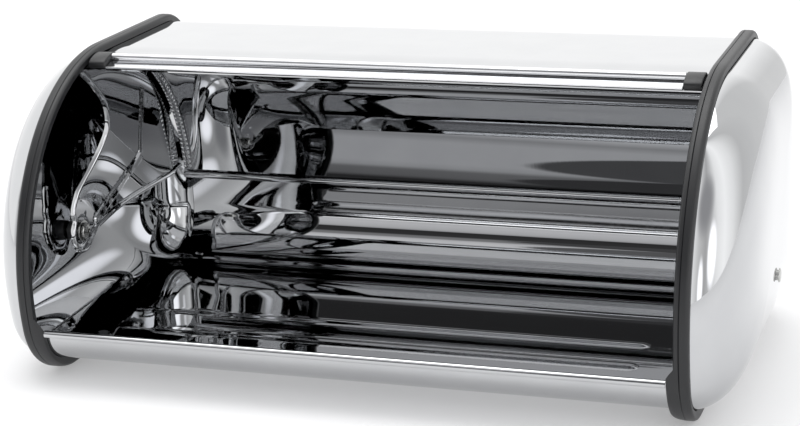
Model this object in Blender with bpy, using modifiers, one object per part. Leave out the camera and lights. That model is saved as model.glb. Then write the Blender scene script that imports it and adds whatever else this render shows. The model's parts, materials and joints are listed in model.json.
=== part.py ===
"""Roll-top bread box: bent sheet casing, domed ends, rim trims and a swinging roll lid.

Units are metres. X runs along the box, the front faces -Y and +Z is up. The origin is the
middle of the footprint on the ground. The lid is modelled in its open, resting position.
"""

import math

import bmesh
import bpy
from mathutils import Vector

# Overall sizes
DEPTH = 0.244            # front to back over the rim trims
HEIGHT = 0.178           # ground to the top of the rim trims
RIM_RADIUS = 0.1205      # round front of the rim trims, about the lid pivot
RIM_SPACING = 0.376      # between the middle planes of the two rim trims
DOME_RISE = 0.0325       # how far each domed end stands out from its rim plane

# Side shape
RIDGE_FRONT_CORNER = 0.044
RIDGE_LOW_CORNER = 0.038
RIDGE_HIGH_CORNER = 0.036
SEAM_FRONT_CORNER = 0.024
SEAM_LOW_CORNER = 0.034
SEAM_HIGH_CORNER = 0.032
RIM_DEPTH = 0.0043       # ridge of the trim to the seam it covers
FOOT_DEPTH = 0.010       # the same along the bottom, where the trims are the feet
DOME_FULLNESS = 4.4      # higher gives a squarer shoulder and a flatter middle
DOME_RINGS = (1.0, 0.995, 0.975, 0.94, 0.88, 0.79, 0.67, 0.52, 0.36, 0.20, 0.06)  # shares of the way out

# Sheet metal and fits
SHEET = 0.0008
FIT = 0.0003             # gap between touching pieces
RUNNING = 0.0003         # radial clearance round the pivot barrel

# Rim trim section
TRIM_WIDTH = 0.0084
TRIM_CROWN = 0.0030      # flat width along the ridge
SHOULDER_WIDTH = 0.86    # width at the rounded shoulder, as a share of the whole
SHOULDER_DEPTH = 0.10    # depths below the ridge, as shares of the trim depth
OUTER_LEG_TOP = 0.30
INNER_LEG_TOP = 0.34
SLOT_FLOOR = 0.42
FLANGE_REACH = 0.50      # where the end flange stops in the slot
LUG_REACH = 0.0042       # how far the trim widens beside the front lip
LUG_CLEARANCE = 0.8      # degrees from the closed lid's front edge to the lug
LUG_RUN_IN = 3.0         # degrees
LUG_END = 262.0          # degrees about the pivot
LUG_RUN_OUT = 30.0       # degrees

# Casing sheet
TOP_EDGE_ANGLE = 93.5    # front edge of the top sheet, degrees about the pivot
TOP_CREASE_BACK = 0.0080  # crease behind the pivot line
TOP_EDGE_DROP = 0.0006
LIP_CLEARANCE = 2.8      # degrees from the closed lid's front edge to the top of the lip
HEM_RADIUS = 0.0018      # rolled hem on the lip
HEM_TURN = 215.0         # degrees
HEM_STEPS = 8
BEAD_PLACES = (-0.0065, -0.0420)
BEAD_STATIONS = (1.0, 0.5, 0.0, -0.5, -1.0)  # across a bead, as shares of its half width
BEAD_INSET = 0.038       # end of a bead from the rim plane
BEAD_HALF_WIDTH = 0.0035
BEAD_HEIGHT = 0.0012
BEAD_RUNOUT = 0.006

# Lid
LID_DEPTH = 0.0068       # front of the rim trims to the middle of the lid sheet
LID_SIDE_REACH = 0.0015  # how far the lid passes each rim plane, inside the domes
LID_FRONT_ANGLE = 104.4  # degrees about the pivot with the lid open
LID_REAR_ANGLE = 4.0
LID_TRAVEL = 85.5        # degrees from open to closed
LID_STEPS = 30
LID_ROLL_RADIUS = 0.0019
LID_ROLL_TURN = 250.0
LID_ROLL_STEPS = 8

# Handle on the lid's front edge
STRIP_REAR_ANGLE = 96.2
STRIP_THICKNESS = 0.0012
BAR_ANGLE = 98.4
BAR_WIDTH = 0.0048
BAR_RISE = 0.0032
BAR_FULLNESS = 0.7       # below 1 the bar's sides stand up steeply
BAR_STEPS = 12
CAP_LENGTH = 0.0105
CAP_RISE = 0.0050
CAP_SIDE_RISE = 0.35     # height of the cap's sides, as a share of its rise
CAP_FULLNESS = 0.6
CAP_STEPS = 10
CAP_OVERHANG = 0.5       # degrees past the strip at the back
CAP_ROUND = 0.0007       # rounding of the cap's edges
CAP_ROUND_ANGLE = 50.0   # degrees, sharper edges than this are rounded
CAP_TRIM_GAP = 0.0013    # end of the cap to the rim trim

# Lid arms
ARM_SHEET = 0.0010
ARM_INNER_PLANE = 0.0086  # arm boss in from the dome wall at the pivot
ARM_BOSS_RADIUS = 0.0140
ARM_BOSS_THICKNESS = 0.0018
ARM_START_RADIUS = 0.010  # nearest the pivot, inside the boss
ARM_FLANGE = 0.0035      # height of the folded edges
FOLD_START = 0.012       # radius at which the edges begin to fold
FOLD_RUN_IN = 0.010
EDGE_SLIVER = 0.0004     # height of the edges before the fold
ARM_OUTER_GAP = 0.0006
ARM_OUT = 0.0030         # outer end of the arm plate, past the side of the lid
ARM_LEAN_START = 0.020
ARM_ROWS = 13
ARM_COLUMNS = 8
# (radius, degrees about the pivot) along the two folded edges
ARM_FRONT_EDGE = ((0.010, 150.0), (0.018, 134.0), (0.041, 82.0), (0.063, 74.0), (0.081, 83.0), (0.110, 103.0))
ARM_REAR_EDGE = ((0.010, -35.0), (0.019, -15.0), (0.042, 4.0), (0.070, 6.5), (0.110, 6.5))

# Seam strips that join the arms to the lid sheet
STRIP_RADIAL = 0.0030
SEAM_STRIP_WIDTH = 0.0052
SEAM_FRONT_ANGLE = 103.0
SEAM_REAR_ANGLE = 6.5
SEAM_STRIP_STEPS = 26

# Pivot hardware
BARREL_RADIUS = 0.0030
BARREL_BORE = 0.0017
BARREL_HEAD_RADIUS = 0.0040
BARREL_HEAD_RISE = 0.0011
HEAD_FLAT = 0.55         # shares of the barrel head's radius and rise that shape its crown
HEAD_EDGE = 0.88
HEAD_EDGE_RISE = 0.60
BARREL_BACK = 0.002      # solid length between the barrel's bore and the wall
BUSH_RADIUS = 0.0060
SCREW_SHANK_RADIUS = 0.0014
SCREW_HEAD_RADIUS = 0.0052
SCREW_HEAD_RISE = 0.0024
SCREW_FLAT = 0.60        # shares of the screw head's radius and rise that shape its crown
SCREW_SHOULDER = 0.88
SCREW_SIDE_RISE = 0.70
SCREW_SHOULDER_RISE = 0.30
SCREW_REACH = 0.0075
RECESS_LENGTH = 0.0050
RECESS_WIDTH = 0.0011
RECESS_DEPTH = 0.0012
WASHER_RADIUS = 0.0068
WASHER_THICKNESS = 0.0008
WALL_SLOPE_ALLOWANCE = 0.0009  # how far the dome wall slopes across the barrel head and bush
BORE_REACH = 0.005         # half length of the tools that bore the sheet
TURN_STEPS = 32

# Outline facets and shading
ROUND_STEPS = 22         # round front
FRONT_CORNER_STEPS = 8
REAR_CORNER_STEPS = 7
LIP_STEPS = 2
SMOOTH_ANGLE = 35.0      # degrees, sharper edges than this stay crisp
PARALLEL = 1e-12         # cross products below this mean parallel lines

# Derived places
PIVOT_Y = RIM_RADIUS - DEPTH / 2
PIVOT_Z = HEIGHT - RIM_RADIUS
RIM_X = RIM_SPACING / 2
BACK_Y = DEPTH / 2
SHEET_INSET = FIT + SHEET / 2
LID_RADIUS = RIM_RADIUS - LID_DEPTH
LID_HALF_WIDTH = RIM_X + LID_SIDE_REACH
HANDLE_HALF_LENGTH = RIM_X - TRIM_WIDTH / 2 - CAP_TRIM_GAP - CAP_LENGTH - FIT
BEAD_HALF_LENGTH = RIM_X - BEAD_INSET
CLOSED_ANGLE = LID_FRONT_ANGLE + LID_TRAVEL  # the lid's front edge when it is closed
LIP_ANGLE = CLOSED_ANGLE + LIP_CLEARANCE
LUG_START = CLOSED_ANGLE + LUG_CLEARANCE


def polar(radius, degrees):
    """Point (y, z) at a radius and angle about the pivot, from +Y towards +Z."""
    angle = math.radians(degrees)
    return (PIVOT_Y + radius * math.cos(angle), PIVOT_Z + radius * math.sin(angle))


def arc(centre, radius, start, end, steps):
    """Points (y, z) along an arc in steps, both ends included, angles in degrees."""
    points = []
    for step in range(steps + 1):
        angle = math.radians(start + (end - start) * step / steps)
        points.append((centre[0] + radius * math.cos(angle), centre[1] + radius * math.sin(angle)))
    return points


class SideOutline:
    """Closed side profile: a round front about the pivot and three round corners."""

    def __init__(self, radius, floor, back, front_corner, low_corner, high_corner):
        self.radius = radius
        self.floor = floor
        self.back = back
        self.front_corner = front_corner
        self.low_corner = low_corner
        self.high_corner = high_corner

    def inset(self, depth):
        """The same profile moved inwards by a depth."""
        return SideOutline(
            self.radius - depth,
            self.floor + depth,
            self.back - depth,
            self.front_corner - depth,
            self.low_corner - depth,
            self.high_corner - depth,
        )

    def front_corner_centre(self):
        """Centre of the front corner, tangent to the round front and the floor."""
        height = self.floor + self.front_corner
        drop = PIVOT_Z - height
        reach = math.sqrt((self.radius - self.front_corner) ** 2 - drop ** 2)
        return (PIVOT_Y - reach, height)

    def front_end_angle(self):
        """Angle about the pivot where the round front meets the front corner."""
        centre = self.front_corner_centre()
        return 180 + math.degrees(math.atan2(PIVOT_Z - centre[1], PIVOT_Y - centre[0]))

    def front_arc(self, start, end, steps):
        """Part of the round front between two angles about the pivot."""
        return arc((PIVOT_Y, PIVOT_Z), self.radius, start, end, steps)

    def front_corner_arc(self, steps):
        """Front corner, from the round front to the floor."""
        return arc(self.front_corner_centre(), self.front_corner, self.front_end_angle(), 270, steps)

    def low_corner_arc(self, steps):
        """Rear lower corner, from the floor to the back."""
        centre = (self.back - self.low_corner, self.floor + self.low_corner)
        return arc(centre, self.low_corner, 270, 360, steps)

    def high_corner_arc(self, steps):
        """Rear upper corner, from the back to the flat top."""
        top = PIVOT_Z + self.radius
        centre = (self.back - self.high_corner, top - self.high_corner)
        return arc(centre, self.high_corner, 0, 90, steps)

    def points(self):
        """Whole closed outline, from the top of the round front, forwards and down."""
        outline = self.front_arc(90, self.front_end_angle(), ROUND_STEPS)
        outline += self.front_corner_arc(FRONT_CORNER_STEPS)[1:]
        outline += self.low_corner_arc(REAR_CORNER_STEPS)
        outline += self.high_corner_arc(REAR_CORNER_STEPS)
        return outline


RIDGE = SideOutline(RIM_RADIUS, 0.0, BACK_Y, RIDGE_FRONT_CORNER, RIDGE_LOW_CORNER, RIDGE_HIGH_CORNER)
SEAM = SideOutline(
    RIM_RADIUS - RIM_DEPTH,
    FOOT_DEPTH,
    BACK_Y - RIM_DEPTH,
    SEAM_FRONT_CORNER,
    SEAM_LOW_CORNER,
    SEAM_HIGH_CORNER,
)
DOME_CENTRE = (BACK_Y - RIM_RADIUS, (HEIGHT + FOOT_DEPTH) / 2)


def mix(first, second, share):
    """Point between two (y, z) points."""
    return (first[0] + (second[0] - first[0]) * share, first[1] + (second[1] - first[1]) * share)


def knots(table, position):
    """Smooth value through (position, value) knots, held level past each end."""
    if position <= table[0][0]:
        return table[0][1]
    for (low, low_value), (high, high_value) in zip(table, table[1:]):
        if position <= high:
            share = (position - low) / (high - low)
            return low_value + (high_value - low_value) * share * share * (3 - 2 * share)
    return table[-1][1]


def clear_scene():
    """Remove every object already in the file."""
    for thing in list(bpy.data.objects):
        bpy.data.objects.remove(thing)


def new_collection(name):
    """Collection linked under the scene."""
    collection = bpy.data.collections.new(name)
    bpy.context.scene.collection.children.link(collection)
    return collection


def material(name, colour, metallic, roughness):
    """Principled material with one colour and finish."""
    made = bpy.data.materials.new(name)
    made.use_nodes = True
    shader = made.node_tree.nodes["Principled BSDF"]
    shader.inputs["Base Color"].default_value = (*colour, 1)
    shader.inputs["Metallic"].default_value = metallic
    shader.inputs["Roughness"].default_value = roughness
    made.diffuse_color = (*colour, 1)
    return made


def new_object(name, mesh, collection, finish, origin=None):
    """Object for a finished bmesh, smooth-shaded, with its origin at a given place."""
    if origin is not None:
        bmesh.ops.translate(mesh, verts=mesh.verts, vec=-Vector(origin))
    data = bpy.data.meshes.new(name)
    mesh.to_mesh(data)
    mesh.free()
    thing = bpy.data.objects.new(name, data)
    if origin is not None:
        thing.location = origin
    collection.objects.link(thing)
    if finish is not None:
        data.materials.append(finish)
    data.shade_smooth()
    data.set_sharp_from_angle(angle=math.radians(SMOOTH_ANGLE))
    return thing


def loft(rows, close_rows=False, close_columns=False):
    """Surface through rows of points, each row as long as the others.

    Args:
        rows: lists of (x, y, z) points.
        close_rows: join the last row to the first.
        close_columns: join the last point of each row to its first.
    """
    mesh = bmesh.new()
    grid = [[mesh.verts.new(point) for point in row] for row in rows]
    row_count = len(grid)
    column_count = len(grid[0])
    for i in range(row_count if close_rows else row_count - 1):
        for j in range(column_count if close_columns else column_count - 1):
            lower = grid[i]
            upper = grid[(i + 1) % row_count]
            after = (j + 1) % column_count
            mesh.faces.new((lower[j], lower[after], upper[after], upper[j]))
    bmesh.ops.recalc_face_normals(mesh, faces=mesh.faces)
    return mesh


def solidify(thing, thickness):
    """Thicken an open surface evenly to both sides."""
    modifier = thing.modifiers.new("sheet", "SOLIDIFY")
    modifier.thickness = thickness
    modifier.offset = 0
    modifier.use_even_offset = True
    return modifier


def boolean(thing, other, operation):
    """Cut or join with the exact solver."""
    modifier = thing.modifiers.new(operation.lower(), "BOOLEAN")
    modifier.operation = operation
    modifier.solver = "EXACT"
    modifier.object = other
    return modifier


def helper(thing):
    """Mark an object as a cutter or a guide."""
    thing.hide_render = True
    thing.display_type = "WIRE"
    return thing


def turned(name, profile, side, collection, finish):
    """Piece turned on the pivot axis by a Screw modifier.

    Args:
        name: object name.
        profile: (distance out from the middle of the box, radius) points, anticlockwise. It
            starts and ends on the axis for a solid, and closes on itself for a ring.
        side: -1 for the left end, +1 for the right.
        collection: where it goes.
        finish: its material, or None.
    """
    mesh = bmesh.new()
    ordered = profile if side > 0 else tuple(reversed(profile))
    points = [mesh.verts.new((side * along, 0, radius)) for along, radius in ordered]
    for first, second in zip(points, points[1:]):
        mesh.edges.new((first, second))
    if profile[0][1] > 0:
        mesh.edges.new((points[-1], points[0]))
    thing = new_object(name, mesh, collection, finish)
    screw = thing.modifiers.new("turn", "SCREW")
    screw.axis = "X"
    screw.steps = TURN_STEPS
    screw.render_steps = TURN_STEPS
    screw.use_merge_vertices = True
    screw.merge_threshold = 0.00001
    screw.use_smooth_shade = True
    thing.location = (0, PIVOT_Y, PIVOT_Z)
    return thing


def disc_profile(start, end, radius):
    """Profile of a plain turned disc between two distances out."""
    return ((end, 0), (end, radius), (start, radius), (start, 0))


def ring_profile(start, end, inner, outer):
    """Profile of a plain turned ring between two distances out."""
    return ((end, inner), (end, outer), (start, outer), (start, inner))


def dome_share(y, z):
    """Share of the way from the dome centre to the seam outline at a side position."""
    outline = SEAM.inset(SHEET_INSET).points()
    reach_y = y - DOME_CENTRE[0]
    reach_z = z - DOME_CENTRE[1]
    best = 0.0
    for first, second in zip(outline, outline[1:] + outline[:1]):
        edge_y = second[0] - first[0]
        edge_z = second[1] - first[1]
        cross = reach_y * edge_z - reach_z * edge_y
        if abs(cross) < PARALLEL:
            continue
        start_y = first[0] - DOME_CENTRE[0]
        start_z = first[1] - DOME_CENTRE[1]
        along = (start_y * edge_z - start_z * edge_y) / cross
        place = (start_y * reach_z - start_z * reach_y) / cross
        if along > 0 and 0 <= place <= 1:
            best = max(best, 1 / along)
    return best


def dome_out(share):
    """Distance of the dome wall from the rim plane, steep at the shoulder and flat inside."""
    return DOME_RISE * math.sqrt(max(0.0, 1 - share ** DOME_FULLNESS))


PIVOT_WALL_X = RIM_X + dome_out(dome_share(PIVOT_Y, PIVOT_Z))
BOSS_X = PIVOT_WALL_X - ARM_INNER_PLANE


def lug_width(degrees):
    """Extra width of the trim's inner leg beside the front lip, by outline angle."""
    rise = min(1.0, max(0.0, (degrees - LUG_START) / LUG_RUN_IN))
    fade = min(1.0, max(0.0, (LUG_END - degrees) / LUG_RUN_OUT))
    return LUG_REACH * rise * rise * (3 - 2 * rise) * fade * fade * (3 - 2 * fade)


def build_rim_trim(side, collection, finish):
    """Moulded rim trim: a round-backed channel whose bottom run is the foot."""
    half = TRIM_WIDTH / 2
    crown = TRIM_CROWN / 2
    slot = SHEET / 2 + FIT
    ridge = RIDGE.points()
    seam = SEAM.points()
    rows = []
    for outer, inner in zip(ridge, seam):
        degrees = math.degrees(math.atan2(inner[1] - PIVOT_Z, inner[0] - PIVOT_Y)) % 360
        leg = half + lug_width(degrees)
        section = (
            (-leg, 1.0),
            (-leg, INNER_LEG_TOP),
            (-half * SHOULDER_WIDTH, SHOULDER_DEPTH),
            (-crown, 0.0),
            (crown, 0.0),
            (half * SHOULDER_WIDTH, SHOULDER_DEPTH),
            (half, OUTER_LEG_TOP),
            (half, 1.0),
            (slot, 1.0),
            (slot, SLOT_FLOOR),
            (-slot, SLOT_FLOOR),
            (-slot, 1.0),
        )
        row = []
        for across, share in section:
            y, z = mix(outer, inner, share)
            row.append((side * (RIM_X + across), y, z))
        rows.append(row)
    name = "left_rim_trim" if side < 0 else "right_rim_trim"
    return new_object(name, loft(rows, close_rows=True, close_columns=True), collection, finish)


def build_end_cap(side, collection, cutters, finish):
    """Drawn end: seam flange, short wall and a polished dome, bored for the pivot barrel."""
    ridge = RIDGE.points()
    seam = SEAM.points()
    wall = SEAM.inset(SHEET_INSET).points()
    flange = []
    for outer, inner in zip(ridge, seam):
        y, z = mix(outer, inner, FLANGE_REACH)
        flange.append((side * RIM_X, y, z))
    rows = [flange]
    for share in DOME_RINGS:
        out = dome_out(share)
        ring = []
        for point in wall:
            y, z = mix(DOME_CENTRE, point, share)
            ring.append((side * (RIM_X + out), y, z))
        rows.append(ring)
    mesh = loft(rows, close_columns=True)
    edges = [edge for edge in mesh.edges if edge.is_boundary]
    middle = [edge for edge in edges if abs(edge.verts[0].co.x) > RIM_X + DOME_RISE / 2]
    bmesh.ops.contextual_create(mesh, geom=middle)
    bmesh.ops.recalc_face_normals(mesh, faces=mesh.faces)
    name = "left_end_cap" if side < 0 else "right_end_cap"
    cap = new_object(name, mesh, collection, finish)
    solidify(cap, SHEET)
    bore = disc_profile(PIVOT_WALL_X - BORE_REACH, PIVOT_WALL_X + BORE_REACH, BARREL_RADIUS + RUNNING)
    cutter = helper(turned(name + "_bore", bore, side, cutters, None))
    boolean(cap, cutter, "DIFFERENCE")
    return cap


def bead_rise(x, y):
    """Height of the pressed floor beads at a place on the floor."""
    rise = 0.0
    for place in BEAD_PLACES:
        across = abs(y - place) / BEAD_HALF_WIDTH
        if across >= 1:
            continue
        end = min(1.0, max(0.0, (BEAD_HALF_LENGTH - abs(x)) / BEAD_RUNOUT))
        rise = max(rise, BEAD_HEIGHT * math.cos(across * math.pi / 2) * end)
    return rise


def casing_path():
    """Middle line of the casing sheet, from the top's front edge to the rolled lip hem."""
    line = SEAM.inset(SHEET_INSET)
    top = PIVOT_Z + line.radius
    edge = polar(line.radius - TOP_EDGE_DROP, TOP_EDGE_ANGLE)
    path = [edge, (PIVOT_Y + TOP_CREASE_BACK, top)]
    path += list(reversed(line.high_corner_arc(REAR_CORNER_STEPS)))
    path += list(reversed(line.low_corner_arc(REAR_CORNER_STEPS)))
    for place in BEAD_PLACES:
        for share in BEAD_STATIONS:
            path.append((place + share * BEAD_HALF_WIDTH, line.floor))
    path += list(reversed(line.front_corner_arc(FRONT_CORNER_STEPS)))
    path += line.front_arc(line.front_end_angle(), LIP_ANGLE, LIP_STEPS)[1:]
    path += roll(polar(line.radius, LIP_ANGLE), LIP_ANGLE - 90, LIP_ANGLE, HEM_RADIUS, HEM_TURN, HEM_STEPS)
    return path


def roll(start, heading, towards, radius, turn, steps):
    """Rolled edge that carries on from a path's end.

    Args:
        start: last point of the path.
        heading: direction of travel there, in degrees.
        towards: direction from the start to the middle of the roll, in degrees.
        radius: middle radius of the roll.
        turn: how far it rolls, in degrees.
        steps: facets of the roll.
    """
    centre_angle = math.radians(towards)
    centre = (start[0] + radius * math.cos(centre_angle), start[1] + radius * math.sin(centre_angle))
    sense = 1 if math.sin(math.radians(towards - heading)) > 0 else -1
    first = towards + 180
    return arc(centre, radius, first, first + sense * turn, steps)[1:]


def build_casing(collection, finish):
    """One bent sheet: top, back, floor with two beads, and the front lip with its hem."""
    edge = RIM_X - SHEET / 2 - FIT
    hem_edge = RIM_X - TRIM_WIDTH / 2 - LUG_REACH - FIT
    runout = BEAD_HALF_LENGTH - BEAD_RUNOUT
    stations = (-edge, -BEAD_HALF_LENGTH, -runout, 0.0, runout, BEAD_HALF_LENGTH, edge)
    path = casing_path()
    rows = []
    for index, (y, z) in enumerate(path):
        in_hem = index >= len(path) - HEM_STEPS
        row = []
        for x in stations:
            if in_hem and abs(x) > hem_edge:
                x = math.copysign(hem_edge, x)
            on_floor = z < SEAM.floor + 2 * SHEET_INSET
            row.append((x, y, z + (bead_rise(x, y) if on_floor else 0.0)))
        rows.append(row)
    casing = new_object("body_sheet", loft(rows), collection, finish)
    solidify(casing, SHEET)
    return casing


def build_lid_sheet(collection, finish, pivot):
    """Curved lid sheet with a rolled rear edge, origin on the pivot axis."""
    path = arc((PIVOT_Y, PIVOT_Z), LID_RADIUS, LID_FRONT_ANGLE, LID_REAR_ANGLE, LID_STEPS)
    path += roll(polar(LID_RADIUS, LID_REAR_ANGLE), LID_REAR_ANGLE - 90, LID_REAR_ANGLE + 180,
                 LID_ROLL_RADIUS, LID_ROLL_TURN, LID_ROLL_STEPS)
    rows = [[(x, y, z) for x in (-LID_HALF_WIDTH, LID_HALF_WIDTH)] for y, z in path]
    lid = new_object("lid_sheet", loft(rows), collection, finish, (0, PIVOT_Y, PIVOT_Z))
    solidify(lid, SHEET)
    lid.parent = pivot
    lid.location = (0, 0, 0)
    return lid


def extruded(name, outline, start, end, collection, finish, pivot):
    """Closed (y, z) outline run along X and capped, carried by the lid pivot."""
    mesh = bmesh.new()
    near = [mesh.verts.new((start, y, z)) for y, z in outline]
    face = mesh.faces.new(near)
    grown = bmesh.ops.extrude_face_region(mesh, geom=[face])
    moved = [item for item in grown["geom"] if isinstance(item, bmesh.types.BMVert)]
    bmesh.ops.translate(mesh, verts=moved, vec=(end - start, 0, 0))
    bmesh.ops.recalc_face_normals(mesh, faces=mesh.faces)
    thing = new_object(name, mesh, collection, finish, (0, PIVOT_Y, PIVOT_Z))
    thing.parent = pivot
    thing.location = (0, 0, 0)
    return thing


def ring_sector(inner, outer, start, end, steps):
    """Closed outline between two radii and two angles about the pivot."""
    centre = (PIVOT_Y, PIVOT_Z)
    return arc(centre, inner, start, end, steps) + arc(centre, outer, end, start, steps)


def build_handle(collection, chrome, plastic, pivot):
    """Front strip, raised bar and the two plastic end caps of the handle."""
    under = LID_RADIUS + SHEET / 2 + FIT
    strip_top = under + STRIP_THICKNESS
    strip = ring_sector(under, strip_top, STRIP_REAR_ANGLE, LID_FRONT_ANGLE, 4)
    extruded("lid_front_strip", strip, -HANDLE_HALF_LENGTH, HANDLE_HALF_LENGTH, collection, chrome, pivot)

    base = strip_top + FIT
    half_angle = math.degrees(BAR_WIDTH / 2 / base)
    bar = []
    for step in range(BAR_STEPS + 1):
        across = math.cos(math.pi * step / BAR_STEPS)
        rise = math.sin(math.pi * step / BAR_STEPS) ** BAR_FULLNESS
        bar.append(polar(base + BAR_RISE * rise, BAR_ANGLE + half_angle * across))
    extruded("lid_handle_bar", bar, -HANDLE_HALF_LENGTH, HANDLE_HALF_LENGTH, collection, chrome, pivot)

    cap_start = STRIP_REAR_ANGLE - CAP_OVERHANG
    cap_end = LID_FRONT_ANGLE
    middle = (cap_start + cap_end) / 2
    half_cap = (cap_end - cap_start) / 2
    outline = arc((PIVOT_Y, PIVOT_Z), under, cap_end, cap_start, 4)
    for step in range(CAP_STEPS + 1):
        across = -math.cos(math.pi * step / CAP_STEPS)
        crown = math.sin(math.pi * step / CAP_STEPS) ** CAP_FULLNESS
        rise = CAP_SIDE_RISE + (1 - CAP_SIDE_RISE) * crown
        outline.append(polar(under + CAP_RISE * rise, middle + half_cap * across))
    for side in (-1, 1):
        name = "left_handle_cap" if side < 0 else "right_handle_cap"
        start = side * (HANDLE_HALF_LENGTH + FIT)
        cap = extruded(name, outline, start, start + side * CAP_LENGTH, collection, plastic, pivot)
        bevel = cap.modifiers.new("round", "BEVEL")
        bevel.width = CAP_ROUND
        bevel.segments = 2
        bevel.limit_method = "ANGLE"
        bevel.angle_limit = math.radians(CAP_ROUND_ANGLE)


def arm_outer_radius():
    """Radius at which the arm plate stops short of its seam strip."""
    return LID_RADIUS - SHEET / 2 - FIT - STRIP_RADIAL - ARM_OUTER_GAP


def arm_plane(radius):
    """Distance of the arm plate from the middle of the box at a radius from the pivot."""
    outer = LID_HALF_WIDTH + ARM_OUT
    lean = (BOSS_X - outer) / (arm_outer_radius() - ARM_LEAN_START)
    return BOSS_X - max(0.0, radius - ARM_LEAN_START) * lean


def build_arm(side, collection, cutters, finish, pivot):
    """Stamped fan arm: boss, plate between two folded edges, and a bore for the barrel."""
    outer = arm_outer_radius()
    rows = []
    for i in range(ARM_ROWS):
        radius = ARM_START_RADIUS + (outer - ARM_START_RADIUS) * i / (ARM_ROWS - 1)
        front = knots(ARM_FRONT_EDGE, radius)
        rear = knots(ARM_REAR_EDGE, radius)
        x = arm_plane(radius)
        run_in = min(1.0, max(0.0, (radius - FOLD_START) / FOLD_RUN_IN))
        fold = max(EDGE_SLIVER, ARM_FLANGE * run_in)
        row = []
        for j in range(ARM_COLUMNS + 1):
            angle = front + (rear - front) * j / ARM_COLUMNS
            y, z = polar(radius, angle)
            if j == 0:
                row.append((side * (x - fold), y, z))
            row.append((side * x, y, z))
            if j == ARM_COLUMNS:
                row.append((side * (x - fold), y, z))
        rows.append(row)
    name = "left_lid_arm" if side < 0 else "right_lid_arm"
    origin = (0, PIVOT_Y, PIVOT_Z)
    arm = new_object(name, loft(rows), collection, finish, origin)
    solidify(arm, ARM_SHEET)
    half = ARM_BOSS_THICKNESS / 2
    disc = disc_profile(BOSS_X - half, BOSS_X + half, ARM_BOSS_RADIUS)
    boss = helper(turned(name + "_boss", disc, side, cutters, None))
    boolean(arm, boss, "UNION")
    bore = disc_profile(BOSS_X - BORE_REACH, BOSS_X + BORE_REACH, BARREL_RADIUS + RUNNING)
    cutter = helper(turned(name + "_bore", bore, side, cutters, None))
    boolean(arm, cutter, "DIFFERENCE")
    arm.parent = pivot
    arm.location = (0, 0, 0)
    return arm


def build_seam_strip(side, collection, finish, pivot):
    """Rolled strip under the lid's side edge that the arm plate is seamed into."""
    outer = LID_RADIUS - SHEET / 2 - FIT
    inner = outer - STRIP_RADIAL
    outline = ring_sector(inner, outer, SEAM_REAR_ANGLE, SEAM_FRONT_ANGLE, SEAM_STRIP_STEPS)
    start = side * (LID_HALF_WIDTH - SEAM_STRIP_WIDTH)
    end = side * LID_HALF_WIDTH
    name = "left_seam_strip" if side < 0 else "right_seam_strip"
    return extruded(name, outline, start, end, collection, finish, pivot)


def box_cutter(name, face_x, turn, cutters):
    """Bar that cuts one arm of the cross recess in a screw head on the pivot axis."""
    mesh = bmesh.new()
    bmesh.ops.create_cube(mesh, size=1)
    bmesh.ops.scale(mesh, verts=mesh.verts, vec=(2 * RECESS_DEPTH, RECESS_LENGTH, RECESS_WIDTH))
    cutter = helper(new_object(name, mesh, cutters, None))
    cutter.location = (face_x, PIVOT_Y, PIVOT_Z)
    cutter.rotation_euler = (math.radians(turn + 45), 0, 0)
    return cutter


def build_pivot(side, root, cutters, finishes, pivot):
    """Barrel and bush fixed in the end, screw in the barrel, and washer on the arm."""
    steel, nylon = finishes
    prefix = "left" if side < 0 else "right"
    half_boss = ARM_BOSS_THICKNESS / 2
    head_under = PIVOT_WALL_X + SHEET / 2 + WALL_SLOPE_ALLOWANCE
    washer_out = BOSS_X - half_boss - FIT
    washer_in = washer_out - WASHER_THICKNESS
    barrel_end = washer_in - FIT
    screw_head_out = barrel_end - FIT
    hole_end = head_under - BARREL_BACK

    head_top = head_under + BARREL_HEAD_RISE
    barrel = (
        (head_top, 0),
        (head_top, BARREL_HEAD_RADIUS * HEAD_FLAT),
        (head_under + BARREL_HEAD_RISE * HEAD_EDGE_RISE, BARREL_HEAD_RADIUS * HEAD_EDGE),
        (head_under, BARREL_HEAD_RADIUS),
        (head_under, BARREL_RADIUS),
        (barrel_end, BARREL_RADIUS),
        (barrel_end, BARREL_BORE),
        (hole_end, BARREL_BORE),
        (hole_end, 0),
    )
    turned(prefix + "_pivot_barrel", barrel, side, root, steel)

    bush_in = BOSS_X + half_boss + FIT
    bush_out = PIVOT_WALL_X - SHEET / 2 - WALL_SLOPE_ALLOWANCE - FIT
    bush = ring_profile(bush_in, bush_out, BARREL_RADIUS + RUNNING, BUSH_RADIUS)
    turned(prefix + "_pivot_bush", bush, side, root, nylon)

    head_in = screw_head_out - SCREW_HEAD_RISE
    screw = (
        (screw_head_out + SCREW_REACH, 0),
        (screw_head_out + SCREW_REACH, SCREW_SHANK_RADIUS),
        (screw_head_out, SCREW_SHANK_RADIUS),
        (screw_head_out, SCREW_HEAD_RADIUS),
        (head_in + SCREW_HEAD_RISE * SCREW_SIDE_RISE, SCREW_HEAD_RADIUS),
        (head_in + SCREW_HEAD_RISE * SCREW_SHOULDER_RISE, SCREW_HEAD_RADIUS * SCREW_SHOULDER),
        (head_in, SCREW_HEAD_RADIUS * SCREW_FLAT),
        (head_in, 0),
    )
    driver = turned(prefix + "_pivot_screw", screw, side, root, steel)
    for turn in (0, 90):
        slot = box_cutter(f"{prefix}_recess_{turn}", side * head_in, turn, cutters)
        boolean(driver, slot, "DIFFERENCE")

    washer = ring_profile(washer_in, washer_out, BARREL_RADIUS + RUNNING, WASHER_RADIUS)
    ring = turned(prefix + "_pivot_washer", washer, side, root, steel)
    ring.parent = pivot
    ring.location = (0, 0, 0)


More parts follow.
